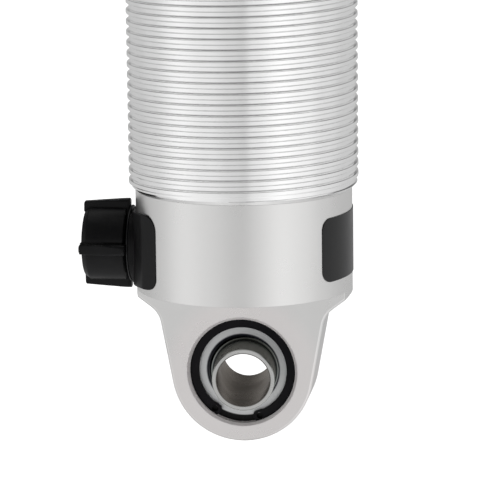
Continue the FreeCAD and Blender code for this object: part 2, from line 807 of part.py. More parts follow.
def rod_guide():
    """The guide over the pressure tube, its bush and its seal ring."""
    turned("rod_guide", [
        ("bush_outer + seat_clearance", "guide_bottom"),
        ("pressure_bore - fit_clearance", "guide_bottom"),
        ("pressure_bore - fit_clearance", "plate_bottom"),
        ("tube_bore - fit_clearance", "plate_bottom"),
        ("tube_bore - fit_clearance", "guide_cord_height - cord_radius - fit_clearance"),
        ("cord_groove", "guide_cord_height - cord_radius - fit_clearance"),
        ("cord_groove", "guide_cord_height + cord_radius + fit_clearance"),
        ("tube_bore - fit_clearance", "guide_cord_height + cord_radius + fit_clearance"),
        ("tube_bore - fit_clearance", "gland_bottom"),
        ("bush_outer + seat_clearance", "gland_bottom"),
    ])
    tube("rod_guide_bush", "rod_hole", "bush_outer", "guide_bottom", "gland_bottom")
    place(rubber_ring("guide_oring", "cord_circle", "cord_radius"), z="guide_cord_height")


def gland():
    """The gland nut that closes the tube, with the lip seal under it and the wiper on top."""
    seal_hole = "seal_radius + fit_clearance"
    seal_top = "gland_bottom + seal_height"
    wiper_floor = "gland_top - wiper_height"
    body = turned("gland_nut", [
        (seal_hole, "gland_bottom"),
        ("tube_bore - fit_clearance", "gland_bottom"),
        ("tube_bore - fit_clearance", "tube_top"),
        ("gland_flange_radius", "tube_top"),
        ("gland_flange_radius", "gland_top - edge_break"),
        ("gland_flange_radius - edge_break", "gland_top"),
        ("wiper_radius + fit_clearance", "gland_top"),
        ("wiper_radius + fit_clearance", wiper_floor),
        ("gland_hole", wiper_floor),
        ("gland_hole", seal_top),
        (seal_hole, seal_top),
    ])
    drilled_ring(body, "spanner_holes", "gland_hole_circle", "gland_hole_radius",
                 "gland_top - gland_hole_depth", "gland_top + cut_room", "gland_hole_count")
    turned("rod_seal", [
        ("rod_hole", "gland_bottom"),
        ("(rod_hole + seal_radius) / 2", "gland_bottom + seal_lip_depth"),
        ("seal_radius", "gland_bottom"),
        ("seal_radius", seal_top),
        ("rod_hole", seal_top),
    ])
    turned("rod_wiper", [
        ("rod_hole", wiper_floor),
        ("wiper_radius", wiper_floor),
        ("wiper_radius", "gland_top"),
        ("rod_hole + wiper_lip", "gland_top"),
        ("rod_hole + wiper_lip / 2", "gland_top + wiper_lip"),
        ("rod_hole", "gland_top + wiper_lip"),
    ])


def shim_stack(label, start, step):
    """Thin valve discs that get smaller away from the piston."""
    discs = []
    for number in range(int(value("shim_count"))):
        low = "%s + %d * shim_thickness" % (start, number if step > 0 else -number - 1)
        radius = "shim_radius - %d * shim_step" % number
        corners = band("stack_hole", radius, low, low + " + shim_thickness")
        discs.append(lathe("%s_%d" % (label, number + 1), corners))
    group(label, discs)


def piston_and_rod():
    """The rod, and what its lower end carries inside the pressure tube."""
    turned("piston_rod", [
        ("0", "rod_end"),
        ("stack_radius", "rod_end"),
        ("stack_radius", "rod_shoulder"),
        ("rod_radius", "rod_shoulder"),
        ("rod_radius", "bump_top"),
        ("rod_thread_radius", "bump_top"),
        ("rod_thread_radius", "rod_top"),
        ("0", "rod_top"),
    ])
    body = turned("piston", [
        ("stack_hole", "piston_bottom"),
        ("piston_radius", "piston_bottom"),
        ("piston_radius", "band_bottom"),
        ("band_inner - seat_clearance", "band_bottom"),
        ("band_inner - seat_clearance", "band_bottom + band_width"),
        ("piston_radius", "band_bottom + band_width"),
        ("piston_radius", "piston_top"),
        ("stack_hole", "piston_top"),
    ])
    drilled_ring(body, "piston_ports", "piston_port_circle", "piston_port_radius",
                 "piston_bottom - cut_room", "piston_top + cut_room", "piston_port_count")
    tube("piston_band", "band_inner", "band_outer", "band_bottom", "band_bottom + band_width")
    shim_stack("rebound_shims", "piston_bottom", -1)
    shim_stack("compression_shims", "piston_top", 1)
    tube("backing_washer", "stack_hole", "washer_radius", "washer_bottom", "rod_shoulder")
    tube("topout_bumper", "bump_hole", "topout_radius", "rod_shoulder", "guide_bottom - topout_gap")
    hexagon_nut("piston_nut", "piston_nut_flats", "stack_hole", "piston_nut_bottom", "piston_nut_top")


def bump_parts():
    """The soft two-lobed stop on the rod, its washer and the nut that locks the eye."""
    def lobe(height):
        return ("lobe_middle", height, "lobe_radius", "left")

    turned("bump_stop", [
        ("bump_hole", "bump_bottom"),
        ("bump_waist_radius", "bump_bottom", lobe("bump_bottom + bump_length / 4")),
        ("bump_waist_radius", "bump_bottom + bump_length / 2", lobe("bump_top - bump_length / 4")),
        ("bump_waist_radius", "bump_top"),
        ("bump_hole", "bump_top"),
    ])
    tube("bump_washer", "rod_thread_hole", "bump_washer_radius", "bump_top", "jam_nut_bottom")
    hexagon_nut("jam_nut", "jam_nut_flats", "rod_thread_hole", "jam_nut_bottom", "neck_bottom")


def upper_spring_hat():
    """The cup that carries the spring's upper end against the eye's flange."""
    turned("upper_spring_hat", [
        ("hat_hole", "hat_top"),
        ("hat_hole", "hat_top - hat_crown"),
        ("hat_crown_radius - hat_wall", "hat_top - hat_crown"),
        ("seat_guide - hat_wall", "hat_face + hat_flange / 2"),
        ("seat_guide - hat_wall", "hat_face - seat_guide_height"),
        ("seat_guide - edge_break", "hat_face - seat_guide_height"),
        ("seat_guide", "hat_face - seat_guide_height + edge_break"),
        ("seat_guide", "hat_face"),
        ("seat_radius - edge_break", "hat_face"),
        ("seat_radius", "hat_face + edge_break"),
        ("seat_radius", "hat_face + hat_flange - edge_break"),
        ("seat_radius - edge_break", "hat_face + hat_flange"),
        ("hat_cone_radius", "hat_face + hat_flange"),
        ("hat_crown_radius", "hat_top"),
    ])


def lower_spring_seat():
    """The sliding seat under the spring."""
    turned("lower_spring_seat", [
        ("thread_radius + seat_slide_gap", "nut_top"),
        ("seat_radius - edge_break", "nut_top"),
        ("seat_radius", "nut_top + edge_break"),
        ("seat_radius", "seat_top - edge_break"),
        ("seat_radius - edge_break", "seat_top"),
        ("seat_guide", "seat_top"),
        ("seat_guide", "seat_top + seat_guide_height - edge_break"),
        ("seat_guide - edge_break", "seat_top + seat_guide_height"),
        ("thread_radius + seat_slide_gap", "seat_top + seat_guide_height"),
    ])


def adjuster_nut():
    """The ring nut that carries the seat, with spanner slots and a lock screw."""
    body = turned("adjuster_nut", [
        ("nut_bore", "nut_bottom"),
        ("nut_radius - nut_bevel", "nut_bottom"),
        ("nut_radius", "nut_bottom + nut_bevel"),
        ("nut_radius", "nut_top - edge_break"),
        ("nut_radius - edge_break", "nut_top"),
        ("nut_bore", "nut_top"),
    ])
    slot = new_sketch(body, "XZ_Plane", "spanner_slot")
    draw(slot, [
        ("nut_radius - nut_slot_depth", "nut_bottom - cut_room"),
        ("nut_radius + cut_room", "nut_bottom - cut_room"),
        ("nut_radius + cut_room", "nut_bottom + nut_slot_length"),
        ("nut_radius - nut_slot_depth", "nut_bottom + nut_slot_length"),
    ])
    repeat(body, extrude(body, slot, "Pocket", "nut_slot_width", symmetric=True), "nut_slot_count")
    hole = draw_circle(new_sketch(body, "XZ_Plane", "lock_screw_hole"), "0", "lock_screw_height",
                       "lock_screw_radius + fit_clearance")
    extrude(body, hole, "Pocket", "nut_radius + cut_room", reverse=True)
    screw = tube("nut_lock_screw", "0", "lock_screw_radius", "0", "lock_screw_length")
    place(screw, LOCK_SCREW_TURN, y="-nut_bore", z="lock_screw_height")


def wind(label, mean, wire, turns, closed_pitch, length):
    """A coil spring with closed ends ground flat, standing on local Z = 0."""
    arcs_per_turn = 8
    closed_turns = 0.75
    blend_turns = 1.0
    slow_turns = 2 * closed_turns + blend_turns
    open_pitch = (length - slow_turns * closed_pitch) / (turns - slow_turns)

    def rise(turn):
        """Height of the wire's middle: slow at first, then a blend to the open pitch."""
        blend = min(max(turn - closed_turns, 0), blend_turns)
        opened = max(turn - closed_turns - blend_turns, 0)
        gain = open_pitch - closed_pitch
        return closed_pitch * turn + gain * (blend ** 2 / (2 * blend_turns) + opened)

    def point(turn):
        height = rise(turn) if turn < turns / 2 else length - rise(turns - turn)
        angle = 2 * math.pi * turn
        return FreeCAD.Vector(mean * math.cos(angle), mean * math.sin(angle), height)

    arcs = []
    for number in range(int(round(turns * arcs_per_turn))):
        stops = [point((number + share) / arcs_per_turn) for share in (0, 0.5, 1)]
        arcs.append(Part.Arc(*stops).toShape())
    along = arcs[0].tangentAt(arcs[0].FirstParameter)
    section = Part.Wire([Part.makeCircle(wire, point(0), along)])
    coil = Part.Wire(arcs).makePipeShell([section], True, False)
    envelope = Part.makeCylinder(mean + 2 * wire, length)
    piece = doc.addObject("Part::Feature", label)
    piece.Label = label
    piece.Shape = coil.common(envelope).Solids[0]
    return keep(piece)


def springs():
    """The main coil spring and the small one behind the detent ball."""
    coil = wind("coil_spring", value("spring_inner_radius + wire_radius"), value("wire_radius"),
                value("spring_turns"), value("spring_closed_pitch"), value("spring_length"))
    place(coil, z="seat_top")
    detent = wind("detent_spring", value("detent_ball_radius - detent_wire_radius"),
                  value("detent_wire_radius"), value("detent_turns"),
                  value("2 * detent_wire_radius"), value("detent_spring_length"))
    place(detent, KNOB_TURN, x="-detent_floor", z="adjuster_height + detent_circle")


def adjuster_saddle():
    """The curved dial plate on the base, with a round flat boss where the knob sits."""
    body = new_body("adjuster_saddle")
    inside = "saddle_bore - cut_room"
    outer = ("0", "0", "saddle_radius", "left")
    inner = ("0", "0", inside, "right")
    strip = new_sketch(body, "XY_Plane", "saddle_strip")
    draw(strip, [
        spot("saddle_radius", "180 - saddle_full_angle") + (outer,),
        spot("saddle_radius", "180 + saddle_full_angle"),
        spot("saddle_bore", "180 + saddle_end_angle"),
        spot(inside, "180 + saddle_end_angle") + (inner,),
        spot(inside, "180 - saddle_end_angle"),
        spot("saddle_bore", "180 - saddle_end_angle"),
    ])
    strip.setExpression("AttachmentOffset.Base.z", bound("saddle_low"))
    extrude(body, strip, "Pad", "saddle_high - saddle_low")
    boss = new_sketch(body, "XZ_Plane", "saddle_boss", "adjuster_height")
    draw(boss, [
        ("-(%s)" % inside, "0"),
        ("-(%s)" % inside, "saddle_boss_radius"),
        ("-collar_start", "saddle_boss_radius"),
        ("-collar_start", "0"),
    ])
    revolve(body, boss, axis="H_Axis")
    seat = new_sketch(body, "XZ_Plane", "saddle_seat")
    draw(seat, [
        ("0", "saddle_low - cut_room"),
        ("saddle_bore", "saddle_low - cut_room"),
        ("saddle_bore", "saddle_high + cut_room"),
        ("0", "saddle_high + cut_room"),
    ])
    revolve(body, seat, "Groove")
    trim = new_sketch(body, "YZ_Plane", "saddle_trim")
    room = "saddle_radius + cut_room"
    draw(trim, [("-(%s)" % room, "saddle_low - cut_room"), (room, "saddle_low - cut_room"),
                (room, "saddle_high + cut_room"), ("-(%s)" % room, "saddle_high + cut_room")])
    wide, narrow = "saddle_half_width", "saddle_half_width - saddle_corner"
    low, high = "saddle_low + saddle_corner", "saddle_high - saddle_corner"

    def corner(x, y):
        return (x, y, "saddle_corner", "left")

    draw(trim, [
        ("-(%s)" % narrow, "saddle_low"),
        (narrow, "saddle_low", corner(narrow, low)),
        (wide, low),
        (wide, high, corner(narrow, high)),
        (narrow, "saddle_high"),
        ("-(%s)" % narrow, "saddle_high", corner("-(%s)" % narrow, high)),
        ("-(%s)" % wide, high),
        ("-(%s)" % wide, low, corner("-(%s)" % narrow, low)),
    ])
    extrude(body, trim, "Pocket", symmetric=True)
    hole = draw_circle(new_sketch(body, "YZ_Plane", "saddle_hole"), "0", "adjuster_height",
                       "adjuster_bore + fit_clearance")
    extrude(body, hole, "Pocket", symmetric=True)
    return keep(body)


def adjuster_spindle():
    """The metering needle, its gland and its seal, along the knob's axis."""
    needle_start = "passage_radius + needle_gap"
    spindle = turned("adjuster_spindle", [
        ("0", needle_start),
        ("needle_tip_radius", needle_start),
        ("needle_radius", needle_start + " + needle_cone"),
        ("needle_radius", "spindle_flange_start"),
        ("spindle_flange_radius", "spindle_flange_start"),
        ("spindle_flange_radius", "spindle_flange_end"),
        ("spindle_radius", "spindle_flange_end"),
        ("spindle_radius", "spindle_end"),
        ("knob_screw_radius + fit_clearance", "spindle_end"),
        ("knob_screw_radius + fit_clearance", "spindle_end - knob_screw_length"),
        ("0", "spindle_end - knob_screw_length"),
    ])
    gland_start = "spindle_flange_end + fit_clearance"
    shaft_hole = "spindle_radius + fit_clearance"
    cord_hole = "spindle_radius + 2 * cord_radius + 2 * fit_clearance"
    gland_bush = turned("adjuster_gland", [
        (shaft_hole, gland_start),
        ("adjuster_bore - fit_clearance", gland_start),
        ("adjuster_bore - fit_clearance", "collar_start"),
        ("collar_radius", "collar_start"),
        ("collar_radius", "collar_start + collar_thickness"),
        (shaft_hole, "collar_start + collar_thickness"),
        (shaft_hole, "spindle_cord_place + cord_radius + fit_clearance"),
        (cord_hole, "spindle_cord_place + cord_radius + fit_clearance"),
        (cord_hole, "spindle_cord_place - cord_radius - fit_clearance"),
        (shaft_hole, "spindle_cord_place - cord_radius - fit_clearance"),
    ])
    for piece in (spindle, gland_bush):
        place(piece, KNOB_TURN, z="adjuster_height")
    ring = rubber_ring("spindle_oring", "spindle_radius + cord_radius + fit_clearance", "cord_radius")
    place(ring, KNOB_TURN, x="-spindle_cord_place", z="adjuster_height")
    ball = doc.addObject("Part::Sphere", "detent_ball")
    ball.Label = "detent_ball"
    ball.setExpression("Radius", bound("detent_ball_radius"))
    place(keep(ball), x="-detent_ball_place", z="adjuster_height + detent_circle")


def adjuster_knob():
    """The knob, whose tapered ribs stand past its end, and the screw that holds it on the spindle."""
    screw_hole = "knob_screw_radius + fit_clearance"
    head_hole = "knob_screw_head_radius + fit_clearance"
    knob = turned("adjuster_knob", [
        ("spindle_radius + seat_clearance", "knob_start"),
        ("knob_radius", "knob_start"),
        ("knob_radius", "knob_end - knob_bevel"),
        ("knob_radius - knob_bevel", "knob_end"),
        (head_hole, "knob_end"),
        (head_hole, "knob_head_floor"),
        (screw_hole, "knob_head_floor"),
        (screw_hole, "spindle_end"),
        ("spindle_radius + seat_clearance", "spindle_end"),
    ])
    rib = new_sketch(knob, "XY_Plane", "knob_rib")
    half = "knob_rib_width / 2"
    middle = "knob_rib_reach - knob_rib_round"
    tip = middle + " + sqrt(knob_rib_round^2 - knob_rib_width^2 / 4)"
    root = "knob_radius - knob_rib_width / 2"
    draw(rib, [
        (root, "-" + half),
        (tip, "-" + half, (middle, "0", "knob_rib_round", "left")),
        (tip, half),
        (root, half),
    ])
    rib.setExpression("AttachmentOffset.Base.z", bound("knob_start"))
    repeat(knob, extrude(knob, rib, "Pad", "knob_rib_length"), "knob_rib_count")
    taper = new_sketch(knob, "XZ_Plane", "knob_taper")
    slim = "knob_rib_reach - knob_rib_taper"
    rounding = (slim + " - knob_rib_corner", "knob_rib_end - knob_rib_corner", "knob_rib_corner", "right")
    draw(taper, [
        ("knob_rib_reach", "knob_start"),
        ("knob_rib_reach + cut_room", "knob_start"),
        ("knob_rib_reach + cut_room", "knob_rib_end"),
        (slim + " - knob_rib_corner", "knob_rib_end", rounding),
        (slim, "knob_rib_end - knob_rib_corner"),
    ])
    revolve(knob, taper, "Groove")
    screw_start = "spindle_end - knob_screw_length + knob_screw_web"
    screw = turned("knob_screw", [
        ("0", screw_start),
        ("knob_screw_radius", screw_start),
        ("knob_screw_radius", "knob_head_floor"),
        ("knob_screw_head_radius", "knob_head_floor"),
        ("knob_screw_head_radius", "knob_head_floor + knob_screw_head"),
        ("0", "knob_head_floor + knob_screw_head"),
    ])
    for piece in (knob, screw):
        place(piece, KNOB_TURN, z="adjuster_height")


def check(piece):
    """Stops the build where a sub-part or one of its features failed."""
    shape = piece.Shape
    if shape.isNull() or not shape.isValid() or not shape.Solids:
        raise RuntimeError("bad shape: " + piece.Label)


base_eye()
threaded_body()
bearing("lower", None, value("sleeve_yaw"))
foot_valve()
rod_guide()
gland()
piston_and_rod()
bump_parts()
upper_eye()
bearing("upper", "upper_eye_height", 0)
upper_spring_hat()
lower_spring_seat()
adjuster_nut()
springs()
adjuster_saddle()
adjuster_spindle()
adjuster_knob()

doc.recompute()
for item in doc.Objects:
    if "Invalid" in item.State or "Error" in item.State:
        raise RuntimeError("failed: " + item.Label)
for piece in pieces:
    check(piece)

os.makedirs("parts", exist_ok=True)
for piece in pieces:
    piece.Shape.exportStep("parts/%s.step" % piece.Label)
print("sub-parts written:", len(pieces))
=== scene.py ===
# %% [markdown]
# A threaded-body coilover damper, dressed for a studio close view of its lower end.
# The solids come ready made in one fixed frame, in metres, with Z along the damper and the origin
# in the middle of the lower eye. This lesson keeps most of those solids, gives every one a finish,
# and models again the pieces whose looks need more than a plain solid: the thread, the spring,
# the knob and a few others.

# %% Load the frame
import bmesh
import bpy
import json
import math
from mathutils import Matrix, Vector

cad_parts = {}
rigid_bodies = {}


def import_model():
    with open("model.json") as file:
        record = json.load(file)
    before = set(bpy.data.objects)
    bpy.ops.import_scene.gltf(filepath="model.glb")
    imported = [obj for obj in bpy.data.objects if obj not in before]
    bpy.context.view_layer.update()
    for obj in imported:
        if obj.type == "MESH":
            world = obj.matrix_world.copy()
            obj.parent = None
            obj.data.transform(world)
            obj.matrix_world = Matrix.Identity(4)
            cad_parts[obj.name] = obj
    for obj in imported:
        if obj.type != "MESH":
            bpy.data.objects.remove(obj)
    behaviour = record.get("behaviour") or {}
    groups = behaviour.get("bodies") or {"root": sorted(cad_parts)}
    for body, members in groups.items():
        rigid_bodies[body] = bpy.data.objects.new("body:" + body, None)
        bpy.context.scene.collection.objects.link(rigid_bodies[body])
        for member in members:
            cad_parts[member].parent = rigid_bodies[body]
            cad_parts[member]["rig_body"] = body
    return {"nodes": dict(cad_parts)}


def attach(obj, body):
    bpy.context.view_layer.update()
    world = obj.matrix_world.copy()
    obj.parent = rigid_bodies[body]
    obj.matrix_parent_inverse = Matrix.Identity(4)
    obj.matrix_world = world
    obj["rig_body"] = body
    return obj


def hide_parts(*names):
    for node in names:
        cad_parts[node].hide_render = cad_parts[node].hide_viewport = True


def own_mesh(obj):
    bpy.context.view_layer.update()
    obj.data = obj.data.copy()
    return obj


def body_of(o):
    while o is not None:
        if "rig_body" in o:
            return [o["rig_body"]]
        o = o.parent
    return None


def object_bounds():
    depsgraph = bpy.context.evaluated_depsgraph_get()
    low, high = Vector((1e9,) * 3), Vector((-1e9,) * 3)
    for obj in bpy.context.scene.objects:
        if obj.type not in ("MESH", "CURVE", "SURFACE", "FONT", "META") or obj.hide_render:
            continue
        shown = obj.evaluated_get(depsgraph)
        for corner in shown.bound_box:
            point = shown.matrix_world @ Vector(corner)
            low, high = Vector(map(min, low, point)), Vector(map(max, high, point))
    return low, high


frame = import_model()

cad_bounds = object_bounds()
nodes = frame["nodes"]
scene = bpy.context.scene
MM = 0.001
print("nodes in the frame:", len(nodes))

# %% [markdown]
# The camera has a long lens and stands about three quarters of a metre away, a little to the right
# of the bolt's line and a little above. Angles could be set by hand until the view fits; here a
# matrix made of the camera's right, up and back directions places it exactly, with the small tilt
# that a camera on a tripod often has.

# %% Camera
AZIMUTH, ELEVATION, TILT = (math.radians(angle) for angle in (7.66, 11.0, 0.72))
TARGET = Vector((0, 0, 30.8)) * MM
DISTANCE = 780.9 * MM
SIDE_STEP = -1.07 * MM
SENSOR_WIDTH, LENS = 36, 243.9
flat_share = math.cos(ELEVATION)
back = Vector((math.sin(AZIMUTH) * flat_share, -math.cos(AZIMUTH) * flat_share,
               math.sin(ELEVATION)))
level_right = Vector((math.cos(AZIMUTH), math.sin(AZIMUTH), 0))
level_up = back.cross(level_right)
right = level_right * math.cos(TILT) - level_up * math.sin(TILT)
up = back.cross(right)
eye = TARGET + back * DISTANCE + level_right * SIDE_STEP
camera_data = bpy.data.cameras.new("close_view")
camera_data.sensor_width = SENSOR_WIDTH
camera_data.lens = LENS
camera = bpy.data.objects.new("close_view", camera_data)
facing_damper = Matrix((right, up, back)).transposed().to_4x4()
camera.matrix_world = Matrix.Translation(eye) @ facing_damper
scene.collection.objects.link(camera)
scene.camera = camera
print("camera at", [round(value, 3) for value in eye])

# %% [markdown]
# The stage is a pale floor under the eye. It glows a little, so that it renders white and carries
# hardly any shadow, and it is kept out of glossy reflections, because bare metal would mirror its
# flat white. A grid with one face is enough.

# %% Floor
FLOOR_SIZE = 4
FLOOR_TONE, FLOOR_ROUGHNESS, FLOOR_GLOW = 0.9, 0.9, 0.86
floor_mesh = bmesh.new()
bmesh.ops.create_grid(floor_mesh, x_segments=1, y_segments=1, size=FLOOR_SIZE)
bmesh.ops.translate(floor_mesh, verts=floor_mesh.verts, vec=(0, 0, cad_bounds[0][2]))
floor_data = bpy.data.meshes.new("floor")
floor_mesh.to_mesh(floor_data)
floor_mesh.free()
floor = bpy.data.objects.new("floor", floor_data)
scene.collection.objects.link(floor)
floor.visible_glossy = False
floor_paint = bpy.data.materials.new("pale_floor")
floor_paint.use_nodes = True
floor_shader = floor_paint.node_tree.nodes["Principled BSDF"]
floor_shader.inputs["Base Color"].default_value = (FLOOR_TONE, FLOOR_TONE, FLOOR_TONE, 1)
floor_shader.inputs["Roughness"].default_value = FLOOR_ROUGHNESS
floor_shader.inputs["Emission Color"].default_value = (1, 1, 1, 1)
floor_shader.inputs["Emission Strength"].default_value = FLOOR_GLOW
floor_data.materials.append(floor_paint)
print("floor at", round(cad_bounds[0][2], 4))

# %% [markdown]
# Bare metal shows nothing but what stands around it, so a tent of light is planned for its
# reflections: brightest to the left and the right of the camera, dimmer behind it and at the
# sides. Many lamps could do that; here the world is one radial gradient turned about Z, and a
# ramp says how bright each wall is.

# %% Walls of the tent
TENT = [(0.0, 0.52), (0.14, 0.57), (0.21, 0.66), (0.315, 0.94), (0.40, 0.82), (0.47, 0.68),
        (0.505, 0.62), (0.525, 0.80), (0.61, 1.04), (0.68, 0.92), (0.75, 0.74), (0.85, 0.60),
        (1.0, 0.52)]


def fill_ramp(ramp, stops):
    """Gives a Color Ramp node its stops, each a share of the way and a colour."""
    elements = ramp.color_ramp.elements
    while len(elements) < len(stops):
        elements.new(0.5)
    for element, (share, colour) in zip(elements, stops):
        element.position = share
        element.color = (*colour, 1)


world = bpy.data.worlds.new("light_tent")
world.use_nodes = True
tent = world.node_tree
direction = tent.nodes.new("ShaderNodeTexCoord").outputs["Generated"]
facing = tent.nodes.new("ShaderNodeMapping")
facing.inputs["Rotation"].default_value = (0, 0, math.pi / 2 - AZIMUTH)
compass = tent.nodes.new("ShaderNodeTexGradient")
compass.gradient_type = "RADIAL"
walls = tent.nodes.new("ShaderNodeValToRGB")
walls.color_ramp.interpolation = "EASE"
fill_ramp(walls, [(share, (glow, glow, glow)) for share, glow in TENT])
tent.links.new(direction, facing.inputs["Vector"])
tent.links.new(facing.outputs["Vector"], compass.inputs["Vector"])
tent.links.new(compass.outputs["Fac"], walls.inputs["Fac"])
scene.world = world
print("walls of the tent:", len(TENT))

# %% [markdown]
# The tent dims towards its roof, so that each upper flank of the thread draws a dark line. A
# second ramp could do it; a Map Range node is shorter, since the height of a direction already
# runs from minus one, straight down, to one, straight up.

# %% Roof of the tent
ROOF_STARTS, ROOF_FULL, ROOF_GLOW = 0.05, 0.36, 0.13
heights = tent.nodes.new("ShaderNodeSeparateXYZ")
near_roof = tent.nodes.new("ShaderNodeMapRange")
near_roof.interpolation_type = "SMOOTHSTEP"
near_roof.inputs["From Min"].default_value = ROOF_STARTS
near_roof.inputs["From Max"].default_value = ROOF_FULL
roof = tent.nodes.new("ShaderNodeMix")
roof.data_type = "RGBA"
roof.inputs["B"].default_value = (ROOF_GLOW, ROOF_GLOW, ROOF_GLOW, 1)
tent.links.new(direction, heights.inputs[0])
tent.links.new(heights.outputs["Z"], near_roof.inputs["Value"])
tent.links.new(near_roof.outputs["Result"], roof.inputs["Factor"])
tent.links.new(walls.outputs["Color"], roof.inputs["A"])
tent.links.new(roof.outputs["Result"], tent.nodes["Background"].inputs["Color"])
print("glow of the roof:", ROOF_GLOW)

# %% [markdown]
# One large soft box hangs above, as in a studio, and brightens what faces up. It shows in
# reflections and not to the camera. The Standard view is chosen because it keeps white white.

# %% Soft box
BOX_PLACE, BOX_AIM = Vector((0, 0.3, 1.3)), Vector((0, 0.2, 0))
BOX_WIDTH, BOX_DEPTH, BOX_POWER = 1.4, 1.0, 5
box_light = bpy.data.lights.new("top_box", "AREA")
box_light.shape = "RECTANGLE"
box_light.size, box_light.size_y = BOX_WIDTH, BOX_DEPTH
box_light.energy = BOX_POWER
top_box = bpy.data.objects.new("top_box", box_light)
top_box.location = BOX_PLACE
top_box.rotation_euler = (BOX_AIM - BOX_PLACE).to_track_quat("-Z", "Y").to_euler()
top_box.visible_camera = False
scene.collection.objects.link(top_box)
scene.view_settings.view_transform = "Standard"
print("soft box at", list(BOX_PLACE))

# %% [markdown]
# Two effects serve many finishes, so each is a node group: it is built once, and a finish only
# fills in its sockets. Two small helpers keep the groups short, one for a group with named sockets
# and one for a step of arithmetic.

# %% Group helpers
def new_group(name, inputs, outputs):
    """A shader node group with named sockets."""
    group = bpy.data.node_groups.new(name, "ShaderNodeTree")
    for label, kind in inputs:
        group.interface.new_socket(label, in_out="INPUT", socket_type=kind)
    for label, kind in outputs:
        group.interface.new_socket(label, in_out="OUTPUT", socket_type=kind)
    return group, group.nodes.new("NodeGroupInput"), group.nodes.new("NodeGroupOutput")


def math_node(tree, operation, first, second):
    """A Math node fed by two sockets or numbers."""
    node = tree.nodes.new("ShaderNodeMath")
    node.operation = operation
    for socket, source in zip(node.inputs, (first, second)):
        if isinstance(source, (int, float)):
            socket.default_value = source
        else:
            tree.links.new(source, socket)
    return node.outputs[0]


# %% [markdown]
# The first effect draws the fine rings that a lathe leaves: noise in one dimension, read along the
# height and the radius of a turned piece. An image of scratches could do the same, but would need
# a map for every piece.

# %% Tool marks
RING_DETAIL = 3
tool_marks, marks_in, marks_out = new_group(
    "tool_marks", [("Place", "NodeSocketVector"), ("Rings per metre", "NodeSocketFloat")],
    [("Height", "NodeSocketFloat")])
split = tool_marks.nodes.new("ShaderNodeSeparateXYZ")
tool_marks.links.new(marks_in.outputs["Place"], split.inputs[0])
squares = [math_node(tool_marks, "POWER", split.outputs[axis], 2) for axis in ("X", "Y")]
radius = math_node(tool_marks, "SQRT", math_node(tool_marks, "ADD", *squares), 0)
along = math_node(tool_marks, "ADD", radius, split.outputs["Z"])
rings = tool_marks.nodes.new("ShaderNodeTexNoise")
rings.noise_dimensions = "1D"
rings.inputs["Scale"].default_value = 1
rings.inputs["Detail"].default_value = RING_DETAIL
rings_along = math_node(tool_marks, "MULTIPLY", along, marks_in.outputs["Rings per metre"])
tool_marks.links.new(rings_along, rings.inputs["W"])
tool_marks.links.new(rings.outputs["Fac"], marks_out.inputs["Height"])
print("effect:", tool_marks.name)

# %% [markdown]
# The second effect makes a colour and its gloss drift a little over the surface, as handling and
# polishing do. One cloud of noise drives both, so a darker patch is also a smoother one.

# %% Uneven tone
CLOUD_DETAIL, CLOUD_ROUGHNESS = 5, 0.6
CLOUD_LOW, CLOUD_HIGH = 0.35, 0.65
uneven_tone, tone_in, tone_out = new_group(
    "uneven_tone",
    [("Place", "NodeSocketVector"), ("Dark", "NodeSocketColor"), ("Light", "NodeSocketColor"),
     ("Smooth", "NodeSocketFloat"), ("Rough", "NodeSocketFloat"),
     ("Patches per metre", "NodeSocketFloat")],
    [("Colour", "NodeSocketColor"), ("Roughness", "NodeSocketFloat")])
cloud = uneven_tone.nodes.new("ShaderNodeTexNoise")
cloud.inputs["Detail"].default_value = CLOUD_DETAIL
cloud.inputs["Roughness"].default_value = CLOUD_ROUGHNESS
spread = uneven_tone.nodes.new("ShaderNodeMapRange")
spread.inputs["From Min"].default_value = CLOUD_LOW
spread.inputs["From Max"].default_value = CLOUD_HIGH
blend = uneven_tone.nodes.new("ShaderNodeMix")
blend.data_type = "RGBA"
gloss_drift = uneven_tone.nodes.new("ShaderNodeMapRange")
for source, target in (
        (tone_in.outputs["Place"], cloud.inputs["Vector"]),
        (tone_in.outputs["Patches per metre"], cloud.inputs["Scale"]),
        (cloud.outputs["Fac"], spread.inputs["Value"]),
        (spread.outputs["Result"], blend.inputs["Factor"]),
        (tone_in.outputs["Dark"], blend.inputs["A"]),
        (tone_in.outputs["Light"], blend.inputs["B"]),
        (blend.outputs["Result"], tone_out.inputs["Colour"]),
        (spread.outputs["Result"], gloss_drift.inputs["Value"]),
        (tone_in.outputs["Smooth"], gloss_drift.inputs["To Min"]),
        (tone_in.outputs["Rough"], gloss_drift.inputs["To Max"]),
        (gloss_drift.outputs["Result"], tone_out.inputs["Roughness"])):
    uneven_tone.links.new(source, target)
print("effect:", uneven_tone.name)

# %% [markdown]
# Every surface has some relief: rings on a turned piece, grain on a moulded or coated one. It is
# far finer than a mesh should hold, so a finish takes it as a bump. A Mapping node turns the rings'
# axis onto the piece's own axis, because a bearing is turned about its bolt and not about the
# damper.

# %% Bump of a finish
GRAIN_SCALE, GRAIN_DETAIL = 2600, 2


def object_place(tree):
    """Places on a piece in its own coordinates, which ride along when it moves."""
    return tree.nodes.new("ShaderNodeTexCoord").outputs["Object"]


def about_axis(tree, axis, centre):
    """The same places, with Z along an axis through a point."""
    turned = tree.nodes.new("ShaderNodeMapping")
    turned.vector_type = "TEXTURE"
    turned.inputs["Location"].default_value = centre
    turned.inputs["Rotation"].default_value = axis
    tree.links.new(object_place(tree), turned.inputs["Vector"])
    return turned.outputs["Vector"]


